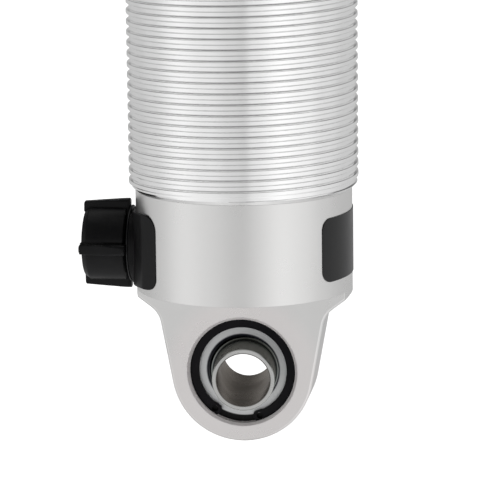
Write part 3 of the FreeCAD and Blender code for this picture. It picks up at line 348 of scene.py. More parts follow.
def bump_height(tree, marks, axis, centre):
    """Turning marks about an axis, or a fine grain on a piece that isn't turned."""
    if marks:
        turning = tree.nodes.new("ShaderNodeGroup")
        turning.node_tree = tool_marks
        turning.inputs["Rings per metre"].default_value = marks
        tree.links.new(about_axis(tree, axis, centre), turning.inputs["Place"])
        return turning.outputs["Height"]
    grain = tree.nodes.new("ShaderNodeTexNoise")
    grain.inputs["Scale"].default_value = GRAIN_SCALE
    grain.inputs["Detail"].default_value = GRAIN_DETAIL
    tree.links.new(object_place(tree), grain.inputs["Vector"])
    return grain.outputs["Fac"]


print("grain scale:", GRAIN_SCALE)

# %% [markdown]
# A finish is one material with one Principled shader. Plain values such as the metal share go
# straight on the shader's own sockets, and the two effects feed only what changes over the
# surface: colour, roughness and the bump. One function makes them all, so that two finishes
# differ only in their numbers.

# %% Finish maker
COAT_ROUGHNESS = 0.15
RELIEF_DEPTH = 0.02 * MM


def finish(name, dark, light, smooth, rough, patches, metal=1.0, gloss=0.5, grazing=(1, 1, 1),
           coat=0.0, marks=None, bump=0.0, axis=(0, 0, 0), centre=(0, 0, 0)):
    """A finish with uneven tone, and either turning marks or a fine grain as its bump."""
    material = bpy.data.materials.new(name)
    material.use_nodes = True
    tree = material.node_tree
    shader = tree.nodes["Principled BSDF"]
    for socket, value in (("Metallic", metal), ("Specular IOR Level", gloss),
                          ("Specular Tint", (*grazing, 1)), ("Coat Weight", coat),
                          ("Coat Roughness", COAT_ROUGHNESS)):
        shader.inputs[socket].default_value = value
    tone = tree.nodes.new("ShaderNodeGroup")
    tone.node_tree = uneven_tone
    for socket, value in (("Dark", (*dark, 1)), ("Light", (*light, 1)), ("Smooth", smooth),
                          ("Rough", rough), ("Patches per metre", patches)):
        tone.inputs[socket].default_value = value
    tree.links.new(object_place(tree), tone.inputs["Place"])
    tree.links.new(tone.outputs["Colour"], shader.inputs["Base Color"])
    tree.links.new(tone.outputs["Roughness"], shader.inputs["Roughness"])
    relief = tree.nodes.new("ShaderNodeBump")
    relief.inputs["Strength"].default_value = bump
    relief.inputs["Distance"].default_value = RELIEF_DEPTH
    tree.links.new(bump_height(tree, marks, axis, centre), relief.inputs["Height"])
    tree.links.new(relief.outputs["Normal"], shader.inputs["Normal"])
    return material


# %% [markdown]
# The metals that are alike along the whole damper come first: the polished thread, clear anodised
# hardware, ground steel, the chromed rod and the bronze bush. Each is a colour range, a roughness
# range and the number of rings that its tool left in a metre.

# %% Metals
bright = finish("bright_thread", dark=(0.965, 0.965, 0.965), light=(0.99, 0.99, 0.99),
                smooth=0.11, rough=0.18, patches=80, marks=16000, bump=0.1)
clear = finish("clear_anodised", dark=(0.70, 0.70, 0.70), light=(0.76, 0.76, 0.755),
               smooth=0.30, rough=0.38, patches=50, marks=7000, bump=0.3)
steel = finish("ground_steel", dark=(0.43, 0.425, 0.41), light=(0.50, 0.49, 0.475),
               smooth=0.22, rough=0.32, patches=90, marks=12000, bump=0.2)
chrome = finish("hard_chrome", dark=(0.70, 0.70, 0.71), light=(0.74, 0.74, 0.75),
                smooth=0.06, rough=0.12, patches=40, marks=20000, bump=0.05)
bronze = finish("turned_bronze", dark=(0.46, 0.32, 0.16), light=(0.55, 0.40, 0.20),
                smooth=0.25, rough=0.36, patches=90, marks=9000, bump=0.2)
metals = (bright, clear, steel, chrome, bronze)
print("metals:", [material.name for material in metals])

# %% [markdown]
# The rest is black or soft: oxide on spring steel, moulded plastic, anodised and powder-coated
# black, rubber, foam, the piston's strip and the label's film. None is a bare metal, so their
# reflections are white and weak, and the blacks differ mostly in gloss.

# %% Blacks and soft goods
black_oxide = finish("black_oxide", dark=(0.003, 0.003, 0.004), light=(0.007, 0.006, 0.008),
                     smooth=0.38, rough=0.52, patches=180, metal=0, gloss=0.12, bump=0.1)
black_plastic = finish("moulded_black", dark=(0.008, 0.008, 0.0084), light=(0.011, 0.011, 0.0115),
                       smooth=0.30, rough=0.42, patches=160, metal=0, gloss=0.11, bump=0.3)
black_anodised = finish("black_anodised", dark=(0.008, 0.008, 0.009), light=(0.014, 0.014, 0.015),
                        smooth=0.3, rough=0.4, patches=90, metal=0, gloss=0.3, bump=0.1)
powder = finish("powder_coat", dark=(0.020, 0.020, 0.022), light=(0.030, 0.030, 0.033),
                smooth=0.30, rough=0.40, patches=70, metal=0, coat=0.3, bump=0.5)
rubber = finish("black_rubber", dark=(0.018, 0.018, 0.018), light=(0.028, 0.028, 0.028),
                smooth=0.62, rough=0.78, patches=120, metal=0, bump=0.4)
foam = finish("bump_foam", dark=(0.50, 0.36, 0.09), light=(0.60, 0.45, 0.13),
              smooth=0.70, rough=0.85, patches=140, metal=0, bump=0.8)
strip = finish("bearing_strip", dark=(0.10, 0.07, 0.05), light=(0.16, 0.11, 0.08),
               smooth=0.5, rough=0.65, patches=200, metal=0, bump=0.2)
label_film = finish("label_film", dark=(0.009, 0.009, 0.0095), light=(0.013, 0.013, 0.0135),
                    smooth=0.28, rough=0.36, patches=120, metal=0, gloss=0.3, bump=0.1)
coverings = (black_oxide, black_plastic, black_anodised, powder, rubber, foam, strip, label_film)
print("not bare metal:", [material.name for material in coverings])

# %% [markdown]
# A bearing is painted dark where shadow sits, in its gaps and its bore, and stays bright where it
# is ground; a bright ring on its ball is a painted highlight. Those zones are rings about the bolt,
# so the finish's colour is multiplied by a ramp over the distance from the bolt's axis. Painting
# the zones would need a map; a ramp needs only radii, in millimetres here.

# %% Painted light and shade by radius
RAMP_REACH = 32


def radius_ramp(tree, axis, centre, stops):
    """A colour that depends on the distance from a bolt's axis."""
    flat = tree.nodes.new("ShaderNodeVectorMath")
    flat.operation = "MULTIPLY"
    flat.inputs[1].default_value = (1, 1, 0)
    tree.links.new(about_axis(tree, axis, centre), flat.inputs[0])
    distance = tree.nodes.new("ShaderNodeVectorMath")
    distance.operation = "LENGTH"
    tree.links.new(flat.outputs["Vector"], distance.inputs[0])
    ramp = tree.nodes.new("ShaderNodeValToRGB")
    fill_ramp(ramp, [(millimetres / RAMP_REACH, shade) for millimetres, shade in stops])
    share = math_node(tree, "DIVIDE", distance.outputs["Value"], RAMP_REACH * MM)
    tree.links.new(share, ramp.inputs["Fac"])
    return ramp.outputs["Color"]


def paint_shade_and_light_by_radius(material, axis, centre, stops):
    """Multiplies a finish's colour by a ramp of painted shade and light about a bolt's axis."""
    tree = material.node_tree
    base = tree.nodes["Principled BSDF"].inputs["Base Color"]
    plain = base.links[0].from_socket
    shaded = tree.nodes.new("ShaderNodeMix")
    shaded.data_type = "RGBA"
    shaded.blend_type = "MULTIPLY"
    shaded.inputs["Factor"].default_value = 1
    tree.links.new(plain, shaded.inputs["A"])
    tree.links.new(radius_ramp(tree, axis, centre, stops), shaded.inputs["B"])
    tree.links.new(shaded.outputs["Result"], base)
    print("shaded by radius:", material.name)


# %% [markdown]
# The two ends of the damper have the same bearing, so each of its finishes is made twice, about
# the lower bolt and about the upper one. The lower ball and sleeve are turned a little in their
# race, and their rings turn with them.

# %% A finish for each end
LOWER_EYE, UPPER_EYE = (0, 0, 0), (0, 0, 422.2 * MM)
SLEEVE_YAW = math.radians(5)
ALONG_BOLT = (math.pi / 2, 0, 0)
ALONG_SLEEVE = (math.pi / 2, 0, SLEEVE_YAW)


def at_both_ends(name, lower_axis, stops, turned_on_bolt=True, **values):
    """A finish for each end, with light and shade painted in rings about its bolt."""
    pair = []
    for end, axis, centre in (("lower", lower_axis, LOWER_EYE), ("upper", ALONG_BOLT, UPPER_EYE)):
        if turned_on_bolt:
            values.update(axis=axis, centre=centre)
        material = finish(name + "_" + end, **values)
        paint_shade_and_light_by_radius(material, axis, centre, stops)
        pair.append(material)
    return pair


# %% [markdown]
# The race is ground bright. Its inner edge is painted dark, painted shade in the gap at the ball,
# and past the snap ring's inner edge it is painted black, painted shade that shows between the lugs
# and through their holes. The ball is painted dark, painted shade, with one bright ring that is a
# painted highlight. The sleeve's bore is painted dark brown, painted shade in the hole, brightening
# across its inner edge to a bright rim, and its outside is darker and grey-green. A tint keeps the
# bore dark where it is seen at a shallow angle.

# %% Bearing finishes
# Painted shade: dark at the race's inner edge, black past the snap ring's inner edge.
RACE_PAINTED_SHADE = [(8.78, (0.10, 0.10, 0.12)), (8.98, (1, 1, 1)), (11.05, (1, 1, 1)),
               (11.22, (0.03, 0.03, 0.03))]
# Painted shade on the ball, with one bright ring as a painted highlight.
BALL_PAINTED_SHADE_AND_HIGHLIGHT = [(7.75, (0.08, 0.09, 0.09)), (7.9, (0.55, 0.58, 0.56)), (8.1, (0.55, 0.58, 0.56)),
               (8.25, (0.06, 0.065, 0.075)), (8.5, (0.05, 0.055, 0.07))]
# Painted shade in the sleeve's bore; a bright rim and a darker grey-green outside.
SLEEVE_PAINTED_SHADE_AND_TONE = [(6.38, (0.125, 0.108, 0.092)), (6.46, (0.16, 0.15, 0.14)), (6.6, (1, 1, 1)),
                 (7.3, (1, 1, 1)), (7.42, (0.37, 0.40, 0.37))]
lower_race, upper_race = at_both_ends(
    "ground_race", ALONG_BOLT, RACE_PAINTED_SHADE, dark=(0.77, 0.775, 0.78), light=(0.86, 0.865, 0.87),
    smooth=0.55, rough=0.64, patches=120, marks=14000, bump=0.2)
lower_ball, upper_ball = at_both_ends(
    "polished_ball", ALONG_SLEEVE, BALL_PAINTED_SHADE_AND_HIGHLIGHT, dark=(0.50, 0.50, 0.50), light=(0.56, 0.56, 0.56),
    smooth=0.12, rough=0.20, patches=90, bump=0.03)
lower_sleeve, upper_sleeve = at_both_ends(
    "sleeve_plate", ALONG_SLEEVE, SLEEVE_PAINTED_SHADE_AND_TONE, dark=(0.60, 0.60, 0.59), light=(0.68, 0.68, 0.67),
    smooth=0.24, rough=0.34, patches=110, marks=11000, bump=0.25, grazing=(0.80, 0.76, 0.72))

# %% [markdown]
# Both eyes are milled from bar, and the marks run about the damper's own axis, as the base is
# turned first. Their flat faces are painted a little lighter, painted light, and a little warmer
# than the turned part. The edge of the bore is painted lighter still, a painted highlight, and is
# fully rough, as a countersink leaves it.

# %% Milled eyes
# Painted light: the bore's edge and the flat faces are lightened, fading back by 20 mm.
EYE_PAINTED_LIGHT = [(13.36, (1.18, 1.16, 1.17)), (13.45, (1.07, 1.04, 1.04)), (16, (1.07, 1.04, 1.04)),
               (20, (1, 1, 1))]
EDGE_ROUGHNESS = [(13.36, (1, 1, 1)), (13.45, (0, 0, 0))]
lower_milled, upper_milled = at_both_ends(
    "milled_aluminium", ALONG_BOLT, EYE_PAINTED_LIGHT, turned_on_bolt=False,
    dark=(0.793, 0.789, 0.782), light=(0.838, 0.834, 0.827), smooth=0.26, rough=0.34, patches=60,
    marks=9000, bump=0.2)
for material, centre in ((lower_milled, LOWER_EYE), (upper_milled, UPPER_EYE)):
    tree = material.node_tree
    dull = tree.nodes["Principled BSDF"].inputs["Roughness"]
    edge = radius_ramp(tree, ALONG_BOLT, centre, EDGE_ROUGHNESS)
    tree.links.new(math_node(tree, "MAXIMUM", dull.links[0].from_socket, edge), dull)
print("rough bore edges:", lower_milled.name, upper_milled.name)

# %% [markdown]
# Each solid from the frame keeps its mesh and takes its finish here. A dictionary from finish to
# pieces reads like a parts list, and the loop fails loudly if a name is wrong.

# %% Dress the solids
DRESS = {
    lower_milled: ["base_eye"],
    upper_milled: ["upper_eye"],
    clear: ["gland_nut", "rod_guide", "piston", "foot_valve_body", "lower_spring_seat",
            "upper_spring_hat", "adjuster_nut"],
    bright: ["threaded_body"],
    powder: ["coil_spring"],
    lower_race: ["lower_race"],
    upper_race: ["upper_race"],
    steel: ["pressure_tube", "jam_nut", "piston_nut", "backing_washer", "bump_washer",
            "rebound_shims", "compression_shims", "foot_valve_disc", "foot_valve_spring",
            "foot_valve_rivet", "detent_ball", "detent_spring", "adjuster_spindle"],
    lower_ball: ["lower_ball"],
    upper_ball: ["upper_ball"],
    lower_sleeve: ["lower_sleeve"],
    upper_sleeve: ["upper_sleeve"],
    chrome: ["piston_rod"],
    black_oxide: ["lower_snap_rings", "upper_snap_rings", "knob_screw", "nut_lock_screw"],
    black_plastic: ["adjuster_knob", "adjuster_saddle"],
    black_anodised: ["adjuster_gland"],
    bronze: ["rod_guide_bush"],
    rubber: ["body_oring", "guide_oring", "spindle_oring", "rod_seal", "rod_wiper",
             "topout_bumper"],
    foam: ["bump_stop"],
    strip: ["piston_band"],
}
for material, names in DRESS.items():
    for name in names:
        nodes[name].data.materials.clear()
        nodes[name].data.materials.append(material)
print("dressed:", sum(len(names) for names in DRESS.values()))

# %% [markdown]
# Every new piece ends the same way. Its faces are turned outwards, its flat areas are kept apart
# from its curved ones by an angle, and it takes a finish and rides on a body. One function does all
# of that, so that no piece can miss a step.

# %% From bmesh to piece
def new_piece(name, bm, body, material, sharp=35):
    """Makes a bmesh into a piece on a body; edges past a sharp angle in degrees stay hard."""
    bmesh.ops.recalc_face_normals(bm, faces=bm.faces)
    if bm.calc_volume(signed=True) < 0:
        bmesh.ops.reverse_faces(bm, faces=bm.faces)
    mesh = bpy.data.meshes.new(name)
    bm.to_mesh(mesh)
    bm.free()
    mesh.shade_smooth()
    mesh.set_sharp_from_angle(angle=math.radians(sharp))
    mesh.materials.append(material)
    piece = bpy.data.objects.new(name, mesh)
    scene.collection.objects.link(piece)
    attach(piece, body)
    print(name, "faces:", len(mesh.polygons))
    return piece


# %% [markdown]
# The thread is what the eye meets first. It is a coarse thread, ten to the inch, with broad crests
# and steep flanks. One pitch of its profile runs from the middle of a crest to the middle of the
# next. Both flanks are alike, so only half of it is listed, as a rise along the damper and a drop
# from the crest in millimetres.

# %% Thread profile
PITCH = 2.54 * MM
THREAD_RADIUS = 27.5 * MM
TUBE_LOW, TUBE_HIGH = 44 * MM, 238 * MM
CREST_AT_RIGHT = 1.5 * MM
HALF_PROFILE = [(0, 0), (0.40, 0.01), (0.47, 0.04), (0.52, 0.10), (0.74, 0.60), (0.79, 0.66),
                (0.86, 0.68), (1.27, 0.68)]
rising = [(rise * MM, drop * MM) for rise, drop in HALF_PROFILE]
falling = [(PITCH - rise, drop) for rise, drop in reversed(rising[:-1])]
start = CREST_AT_RIGHT + PITCH * (math.floor((TUBE_LOW - CREST_AT_RIGHT) / PITCH) - 1)
turns = math.ceil((TUBE_HIGH - start) / PITCH) + 1
print("turns of thread:", turns)

# %% [markdown]
# One way to a helix is a Screw modifier. Here the profile, a short chain of edges, is spun once
# round with a little rise at each step, which gives one true right-hand turn. Copies of that turn,
# each one pitch higher, merge into the whole thread, so the spin is done only once.

# %% Spin the thread
THREAD_STEPS = 84
MERGE_DISTANCE = 0.002 * MM
thread = bmesh.new()
chain = [thread.verts.new((THREAD_RADIUS - drop, 0, start + rise))
         for rise, drop in rising + falling]
links = [thread.edges.new(pair) for pair in zip(chain, chain[1:])]
bmesh.ops.spin(thread, geom=chain + links, cent=(0, 0, 0), axis=(0, 0, 1),
               dvec=(0, 0, PITCH / THREAD_STEPS), angle=2 * math.pi, steps=THREAD_STEPS,
               use_merge=False, use_duplicate=False)
first_turn = thread.verts[:] + thread.edges[:] + thread.faces[:]
for turn in range(1, turns):
    copy = bmesh.ops.duplicate(thread, geom=first_turn)["geom"]
    copied = [item for item in copy if isinstance(item, bmesh.types.BMVert)]
    bmesh.ops.translate(thread, verts=copied, vec=(0, 0, PITCH * turn))
bmesh.ops.remove_doubles(thread, verts=thread.verts, dist=MERGE_DISTANCE)
print("thread before its ends are cut:", len(thread.faces))

# %% [markdown]
# A real tube is cut square and its thread is bevelled at both ends so that it starts cleanly. A
# boolean could do both, slowly; here two bisecting planes cut the ends, and points that stand
# outside the bevel's cone move in onto it.

# %% Cut and bevel the thread
END_BEVEL = 1.5 * MM


def slice_across(bm, point, normal, clear_outer=False):
    """Cuts a whole bmesh with a plane, and drops what lies past it if asked."""
    everything = bm.verts[:] + bm.edges[:] + bm.faces[:]
    bmesh.ops.bisect_plane(bm, geom=everything, plane_co=point, plane_no=normal,
                           clear_outer=clear_outer)


def move_to_radius(vert, radius):
    """Moves a point to a distance from the damper's axis."""
    reach = Vector((vert.co.x, vert.co.y)).length
    vert.co.x *= radius / reach
    vert.co.y *= radius / reach


for height, side in ((TUBE_LOW, -1), (TUBE_HIGH, 1)):
    slice_across(thread, (0, 0, height), (0, 0, side), clear_outer=True)
for vert in thread.verts:
    limit = THREAD_RADIUS - END_BEVEL + min(vert.co.z - TUBE_LOW, TUBE_HIGH - vert.co.z)
    if Vector((vert.co.x, vert.co.y)).length > limit:
        move_to_radius(vert, limit)
print("thread after its ends are cut:", len(thread.faces))

# %% [markdown]
# So far the thread is a skin, and a real tube has a wall with a plain bore. A Solidify modifier
# would repeat the thread inside, so the open rims are drawn in to the bore and bridged instead.

# %% Close the thread
TUBE_BORE = 23.4 * MM
THREAD_SHARP = 12
rims = [edge for edge in thread.edges if edge.is_boundary]
drawn = bmesh.ops.extrude_edge_only(thread, edges=rims)["geom"]
for vert in (item for item in drawn if isinstance(item, bmesh.types.BMVert)):
    move_to_radius(vert, TUBE_BORE)
open_edges = [edge for edge in thread.edges if edge.is_boundary]
bmesh.ops.bridge_loops(thread, edges=open_edges)
threads = new_piece("body_thread", thread, "damper_body", bright,
                    sharp=THREAD_SHARP)
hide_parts("threaded_body")

# %% [markdown]
# The base carries a bare black label on its right side. It could be painted on, but a real film
# has an edge, so it is a mesh. A flat rectangle gets rounded corners and is cut into narrow strips
# by bisecting planes, so that it can bend.

# %% Label outline
BASE_RADIUS = 25.95 * MM
LABEL_LOW, LABEL_HIGH = 23.65 * MM, 39.0 * MM
LABEL_HALF_ANGLE = math.radians(37.7)
LABEL_CORNER, CORNER_STEPS = 2.8 * MM, 8
LABEL_STRIPS = 36
label_half = BASE_RADIUS * LABEL_HALF_ANGLE
label = bmesh.new()
label_corners = [label.verts.new(place) for place in (
    (-label_half, 0, LABEL_LOW), (label_half, 0, LABEL_LOW),
    (label_half, 0, LABEL_HIGH), (-label_half, 0, LABEL_HIGH))]
label.faces.new(label_corners)
bmesh.ops.bevel(label, geom=label_corners, offset=LABEL_CORNER, offset_type="OFFSET",
                segments=CORNER_STEPS, profile=0.5, affect="VERTICES", material=-1)
for strip_number in range(1, LABEL_STRIPS):
    cut = label_half * (2 * strip_number / LABEL_STRIPS - 1)
    slice_across(label, (cut, 0, 0), (1, 0, 0))
print("label strips:", len(label.faces))

# %% [markdown]
# The flat film becomes a thin slab and is wrapped round the base. A Shrinkwrap modifier could lay
# it on; turning each flat distance from the middle into an angle keeps its thickness even.

# %% Wrap the label
LABEL_PROUD, LABEL_SUNK = 0.2 * MM, 0.1 * MM
front_verts = label.verts[:]
pushed = bmesh.ops.extrude_face_region(label, geom=label.faces[:], use_keep_orig=True)["geom"]
back_verts = [item for item in pushed if isinstance(item, bmesh.types.BMVert)]
for verts, radius in ((front_verts, BASE_RADIUS + LABEL_PROUD),
                      (back_verts, BASE_RADIUS - LABEL_SUNK)):
    for vert in verts:
        angle = vert.co.x / BASE_RADIUS
        vert.co = (radius * math.cos(angle), radius * math.sin(angle), vert.co.z)
new_piece("base_label", label, "damper_body", label_film)

# %% [markdown]
# Moulded and machined pieces have no razor edges. A Bevel modifier on the solid would round them,
# but a solid of the frame is never changed. So a merged copy of its mesh has its flat areas
# dissolved to whole faces and its hard edges bevelled to small rounds, and stands in for the solid
# with the same finish. A function that moves points of the copy first can be handed over as well,
# and weighted normals keep the flat areas looking flat.

# %% Rounded copies
WELD_DISTANCE, SHORTEST_EDGE, TINY_EDGE = 0.001 * MM, 0.05 * MM, 0.002 * MM
FLAT_ANGLE, HARD_ANGLE = math.radians(1), math.radians(30)
ROUND_STEPS = 2


def softened(node, width, reshape=None):
    """A copy of a solid's mesh with its hard edges rounded, which replaces that solid."""
    soft = bmesh.new()
    soft.from_mesh(nodes[node].data)
    bmesh.ops.remove_doubles(soft, verts=soft.verts, dist=WELD_DISTANCE)
    bmesh.ops.dissolve_limit(soft, angle_limit=FLAT_ANGLE, verts=soft.verts, edges=soft.edges)
    bmesh.ops.dissolve_degenerate(soft, edges=soft.edges, dist=SHORTEST_EDGE)
    if reshape:
        reshape(soft)
    hard = [edge for edge in soft.edges
            if edge.is_manifold and edge.calc_face_angle() > HARD_ANGLE]
    bmesh.ops.bevel(soft, geom=hard, offset=width, offset_type="OFFSET", segments=ROUND_STEPS,
                    profile=0.5, affect="EDGES", clamp_overlap=False, material=-1)
    bmesh.ops.dissolve_degenerate(soft, edges=soft.edges, dist=TINY_EDGE)
    piece = new_piece(node + "_rounded", soft, body_of(nodes[node])[0],
                      nodes[node].data.materials[0])
    piece.modifiers.new("flat_areas_stay_flat", "WEIGHTED_NORMAL").keep_sharp = True
    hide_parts(node)


# %% [markdown]
# Both eyes, the spring's two seats, three nuts and two small screws only need their edges rounded.
# A list of widths in millimetres keeps them together: wide on the big hardware, narrow on the
# crisp milled eyes and on the screws.

# %% Machined edges
ROUNDS = [("base_eye", 0.12), ("upper_eye", 0.12), ("lower_spring_seat", 0.3),
          ("upper_spring_hat", 0.3), ("adjuster_nut", 0.3), ("gland_nut", 0.25), ("jam_nut", 0.2),
          ("knob_screw", 0.1), ("nut_lock_screw", 0.1)]
for node, millimetres in ROUNDS:
    softened(node, millimetres * MM)

# %% [markdown]
# The snap rings end in two lugs with holes for pliers. The lugs should stand out only a little
# past the ring's inner edge, so points inside that edge move more than half of the way back to it.

# %% Snap rings
SNAP_INNER = 10.62 * MM
LUG_SHARE = 0.4
SNAP_ROUND = 0.12 * MM


def flatten_lugs(centre):
    """A function that flattens the lugs of snap rings about a bolt's axis at this point."""
    def reshape(soft):
        for vert in soft.verts:
            spoke = Vector((vert.co.x, 0, vert.co.z - centre[2]))
            if spoke.length < SNAP_INNER:
                reach = SNAP_INNER - (SNAP_INNER - spoke.length) * LUG_SHARE
                spoke *= reach / spoke.length
                vert.co.x, vert.co.z = spoke.x, centre[2] + spoke.z
    return reshape


softened("lower_snap_rings", SNAP_ROUND, flatten_lugs(LOWER_EYE))
softened("upper_snap_rings", SNAP_ROUND, flatten_lugs(UPPER_EYE))

# %% [markdown]
# The adjuster's knob has four ribs, which end in tips that stand a little proud of its end face.
# Sculpting could shape it; moved points are exact and keep the solid's layout. First, a distance
# along the knob's axis is mapped to a new one, which makes its body longer and the tips shorter.

# %% Lengths along the knob
KNOB_AXIS = 29.8 * MM
KNOB_START, KNOB_WAIST = 27.8 * MM, 31 * MM
BODY_END, RIB_END = 38.1 * MM, 39.2 * MM
BODY_BEVEL, END_ROOM = 0.9 * MM, 0.05 * MM
START_GROWS, BODY_GROWS, RIB_SHRINKS = 0.35 * MM, 0.35 * MM, 0.35 * MM
tip_scale = 1 - (BODY_GROWS + RIB_SHRINKS) / (RIB_END - BODY_END)


def knob_reach(reach):
    """Lengthens the knob's body at both ends and shortens the tips of its ribs."""
    past = reach - BODY_END
    if past > END_ROOM:
        return BODY_END + BODY_GROWS + past * tip_scale
    if past > -BODY_BEVEL:
        return reach + BODY_GROWS * (1 + past / BODY_BEVEL)
    if reach < KNOB_WAIST:
        return reach - START_GROWS * (KNOB_WAIST - reach) / (KNOB_WAIST - KNOB_START)
    return reach


print("knob's body grows by", round((START_GROWS + BODY_GROWS) / MM, 2), "mm")

# %% [markdown]
# A distance from the knob's axis is mapped in the same way. The body grows a little wider, the
# ribs move out with it, and between the ribs the foot of the body sinks into a dark neck.

# %% Radii of the knob
KNOB_CORE, KNOB_RADIUS, WIDE_RADIUS = 5 * MM, 8.4 * MM, 8.95 * MM
RIB_STRETCH = 0.96
NECK_CUTS = (28.65 * MM, 28.5 * MM)
NECK_RADIUS, NECK_ROOM = 6.2 * MM, 0.15 * MM


def knob_radius(radius, reach):
    """Widens the knob's body outside its core, and sinks the neck at its start."""
    if reach < sum(NECK_CUTS) / 2 and abs(radius - KNOB_RADIUS) < NECK_ROOM:
        return NECK_RADIUS
    if radius > KNOB_RADIUS:
        return WIDE_RADIUS + (radius - KNOB_RADIUS) * RIB_STRETCH
    share = (radius - KNOB_CORE) / (KNOB_RADIUS - KNOB_CORE)
    return radius + share * (WIDE_RADIUS - KNOB_RADIUS)


print("knob's body widens by", round((WIDE_RADIUS - KNOB_RADIUS) / MM, 2), "mm")

# %% [markdown]
# Two cuts across the knob give it the rings of points that the neck needs. Then every point is
# moved, and the ribs' tips become narrow, each across its own rib.

# %% Knob
TIP_SHARE = 0.5
KNOB_ROUND = 0.25 * MM


def shape_knob(soft):
    """Cuts the knob for its neck, narrows the ribs' tips and maps every point."""
    for cut in NECK_CUTS:
        slice_across(soft, (-cut, 0, 0), (1, 0, 0))
    for vert in soft.verts:
        reach = -vert.co.x
        spoke = Vector((0, vert.co.y, vert.co.z - KNOB_AXIS))
        if reach - BODY_END > END_ROOM:
            narrow = 1 - (1 - TIP_SHARE) * (reach - BODY_END) / (RIB_END - BODY_END)
            if abs(spoke.y) > abs(spoke.z):
                spoke.z *= narrow
            else:
                spoke.y *= narrow
        if spoke.length > KNOB_CORE:
            spoke *= knob_radius(spoke.length, reach) / spoke.length
        vert.co = (-knob_reach(reach), spoke.y, KNOB_AXIS + spoke.z)


softened("adjuster_knob", KNOB_ROUND, shape_knob)

# %% [markdown]
# The saddle behind the knob has a top edge that dips and a lower edge that drops towards the knob.
# A lattice could bend them; a cosine over the width is shorter and just as smooth. The saddle's
# boss is moved out to a wider circle.

# %% Saddle
SADDLE_HALF_WIDTH = 16 * MM
SADDLE_STILL, SADDLE_REACH = 4 * MM, 8.6 * MM
CORNER_RISE, TOP_DIP, LOW_DROP = 1.0 * MM, 1.3 * MM, 1.2 * MM
BOSS_FOOT, BOSS_INNER, BOSS_RADIUS = 26.95 * MM, 8 * MM, 9.0 * MM
SADDLE_ROUND = 0.2 * MM


def widen(vert, foot, inner, radius):
    """Moves a point past a foot and outside an inner circle to a radius about the knob's axis."""
    spoke = Vector((0, vert.co.y, vert.co.z - KNOB_AXIS))
    if -vert.co.x > foot and spoke.length > inner:
        spoke *= radius / spoke.length
        vert.co.y, vert.co.z = spoke.y, KNOB_AXIS + spoke.z


def shape_saddle(soft):
    """Raises the saddle's top corners, lowers both edges near the knob and widens its boss."""
    for vert in soft.verts:
        above = vert.co.z - KNOB_AXIS
        edge = (abs(above) - SADDLE_STILL) / (SADDLE_REACH - SADDLE_STILL)
        edge = min(max(edge, 0), 1)
        middle = (1 + math.cos(math.pi * min(abs(vert.co.y) / SADDLE_HALF_WIDTH, 1))) / 2
        lift = CORNER_RISE - TOP_DIP * middle if above > 0 else -LOW_DROP * middle
        vert.co.z += edge * lift
        widen(vert, BOSS_FOOT, BOSS_INNER, BOSS_RADIUS)


softened("adjuster_saddle", SADDLE_ROUND, shape_saddle)

# %% [markdown]
# Between the saddle and the knob sits the gland's collar, a thin black ring. Its outer points are
# moved out to a wider circle, as the boss's were, and its bore stays as it is.

# %% Collar
COLLAR_FOOT, COLLAR_INNER, COLLAR_RADIUS = 27 * MM, 7.5 * MM, 9.2 * MM
COLLAR_ROUND = 0.1 * MM


def shape_collar(soft):
    """Widens the gland's collar, which shows between the saddle and the knob."""
    for vert in soft.verts:
        widen(vert, COLLAR_FOOT, COLLAR_INNER, COLLAR_RADIUS)


softened("adjuster_gland", COLLAR_ROUND, shape_collar)

# %% [markdown]
# The coil spring is a wire along a helix. Its end turns lie almost flat and its middle turns are
# open. A Screw modifier keeps one pitch, so a formula gives the rise instead: slow at first,
# blended over one turn and then at the open pitch. The upper half mirrors the lower.

# %% Spring rise
SPRING_LENGTH = 254 * MM
COIL_TURNS = 10
CLOSED_TURNS, BLEND_TURNS = 0.75, 1.0
CLOSED_PITCH = 11.4 * MM
slow_turns = 2 * CLOSED_TURNS + BLEND_TURNS
open_pitch = (SPRING_LENGTH - slow_turns * CLOSED_PITCH) / (COIL_TURNS - slow_turns)


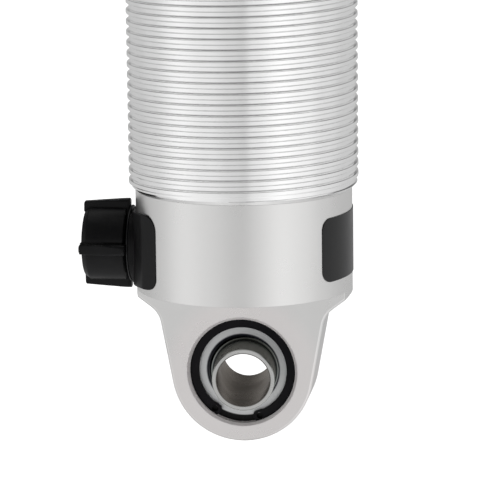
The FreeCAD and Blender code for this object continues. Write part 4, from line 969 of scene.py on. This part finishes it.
def coil_height(turn):
    """Height of the wire's middle above the spring's foot after a number of turns."""
    if turn > COIL_TURNS / 2:
        return SPRING_LENGTH - coil_height(COIL_TURNS - turn)
    blended = min(max(turn - CLOSED_TURNS, 0), BLEND_TURNS)
    opened = max(turn - CLOSED_TURNS - BLEND_TURNS, 0)
    extra_turns = blended ** 2 / (2 * BLEND_TURNS) + opened
    return CLOSED_PITCH * turn + (open_pitch - CLOSED_PITCH) * extra_turns


print("open pitch in mm:", round(open_pitch / MM, 2))

# %% [markdown]
# The wire is a round bar of one thickness. Rings of points could be placed along the helix one by
# one; a curve with a round bevel keeps them square to its path by itself.

# %% Spring line
SPRING_FOOT = 127.5 * MM
COIL_RADIUS = 37.25 * MM
WIRE_RADIUS, WIRE_ROUNDNESS = 5.5 * MM, 5
STEPS_PER_TURN = 40
line = bpy.data.curves.new("spring_line", "CURVE")
line.dimensions = "3D"
line.bevel_depth = WIRE_RADIUS
line.bevel_resolution = WIRE_ROUNDNESS
path = line.splines.new("POLY")
path.points.add(COIL_TURNS * STEPS_PER_TURN)
for number, point in enumerate(path.points):
    turn = number / STEPS_PER_TURN
    angle = 2 * math.pi * turn
    point.co = (COIL_RADIUS * math.cos(angle), COIL_RADIUS * math.sin(angle),
                SPRING_FOOT + coil_height(turn), 1)
print("points along the wire:", len(path.points))

# %% [markdown]
# A spring's ends are ground flat to sit square. The curve becomes a mesh, and two planes grind it.
# The wire rides on its lower seat.

# %% Spring wire
wire_object = bpy.data.objects.new("spring_line", line)
wire = bmesh.new()
wire.from_mesh(bpy.data.meshes.new_from_object(wire_object))
bpy.data.objects.remove(wire_object)
for height, side in ((SPRING_FOOT, -1), (SPRING_FOOT + SPRING_LENGTH, 1)):
    slice_across(wire, (0, 0, height), (0, 0, side), clear_outer=True)
bmesh.ops.holes_fill(wire, edges=[edge for edge in wire.edges if edge.is_boundary])
spring = new_piece("spring_wire", wire, "spring_seat", powder)
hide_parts("coil_spring")
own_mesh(spring)
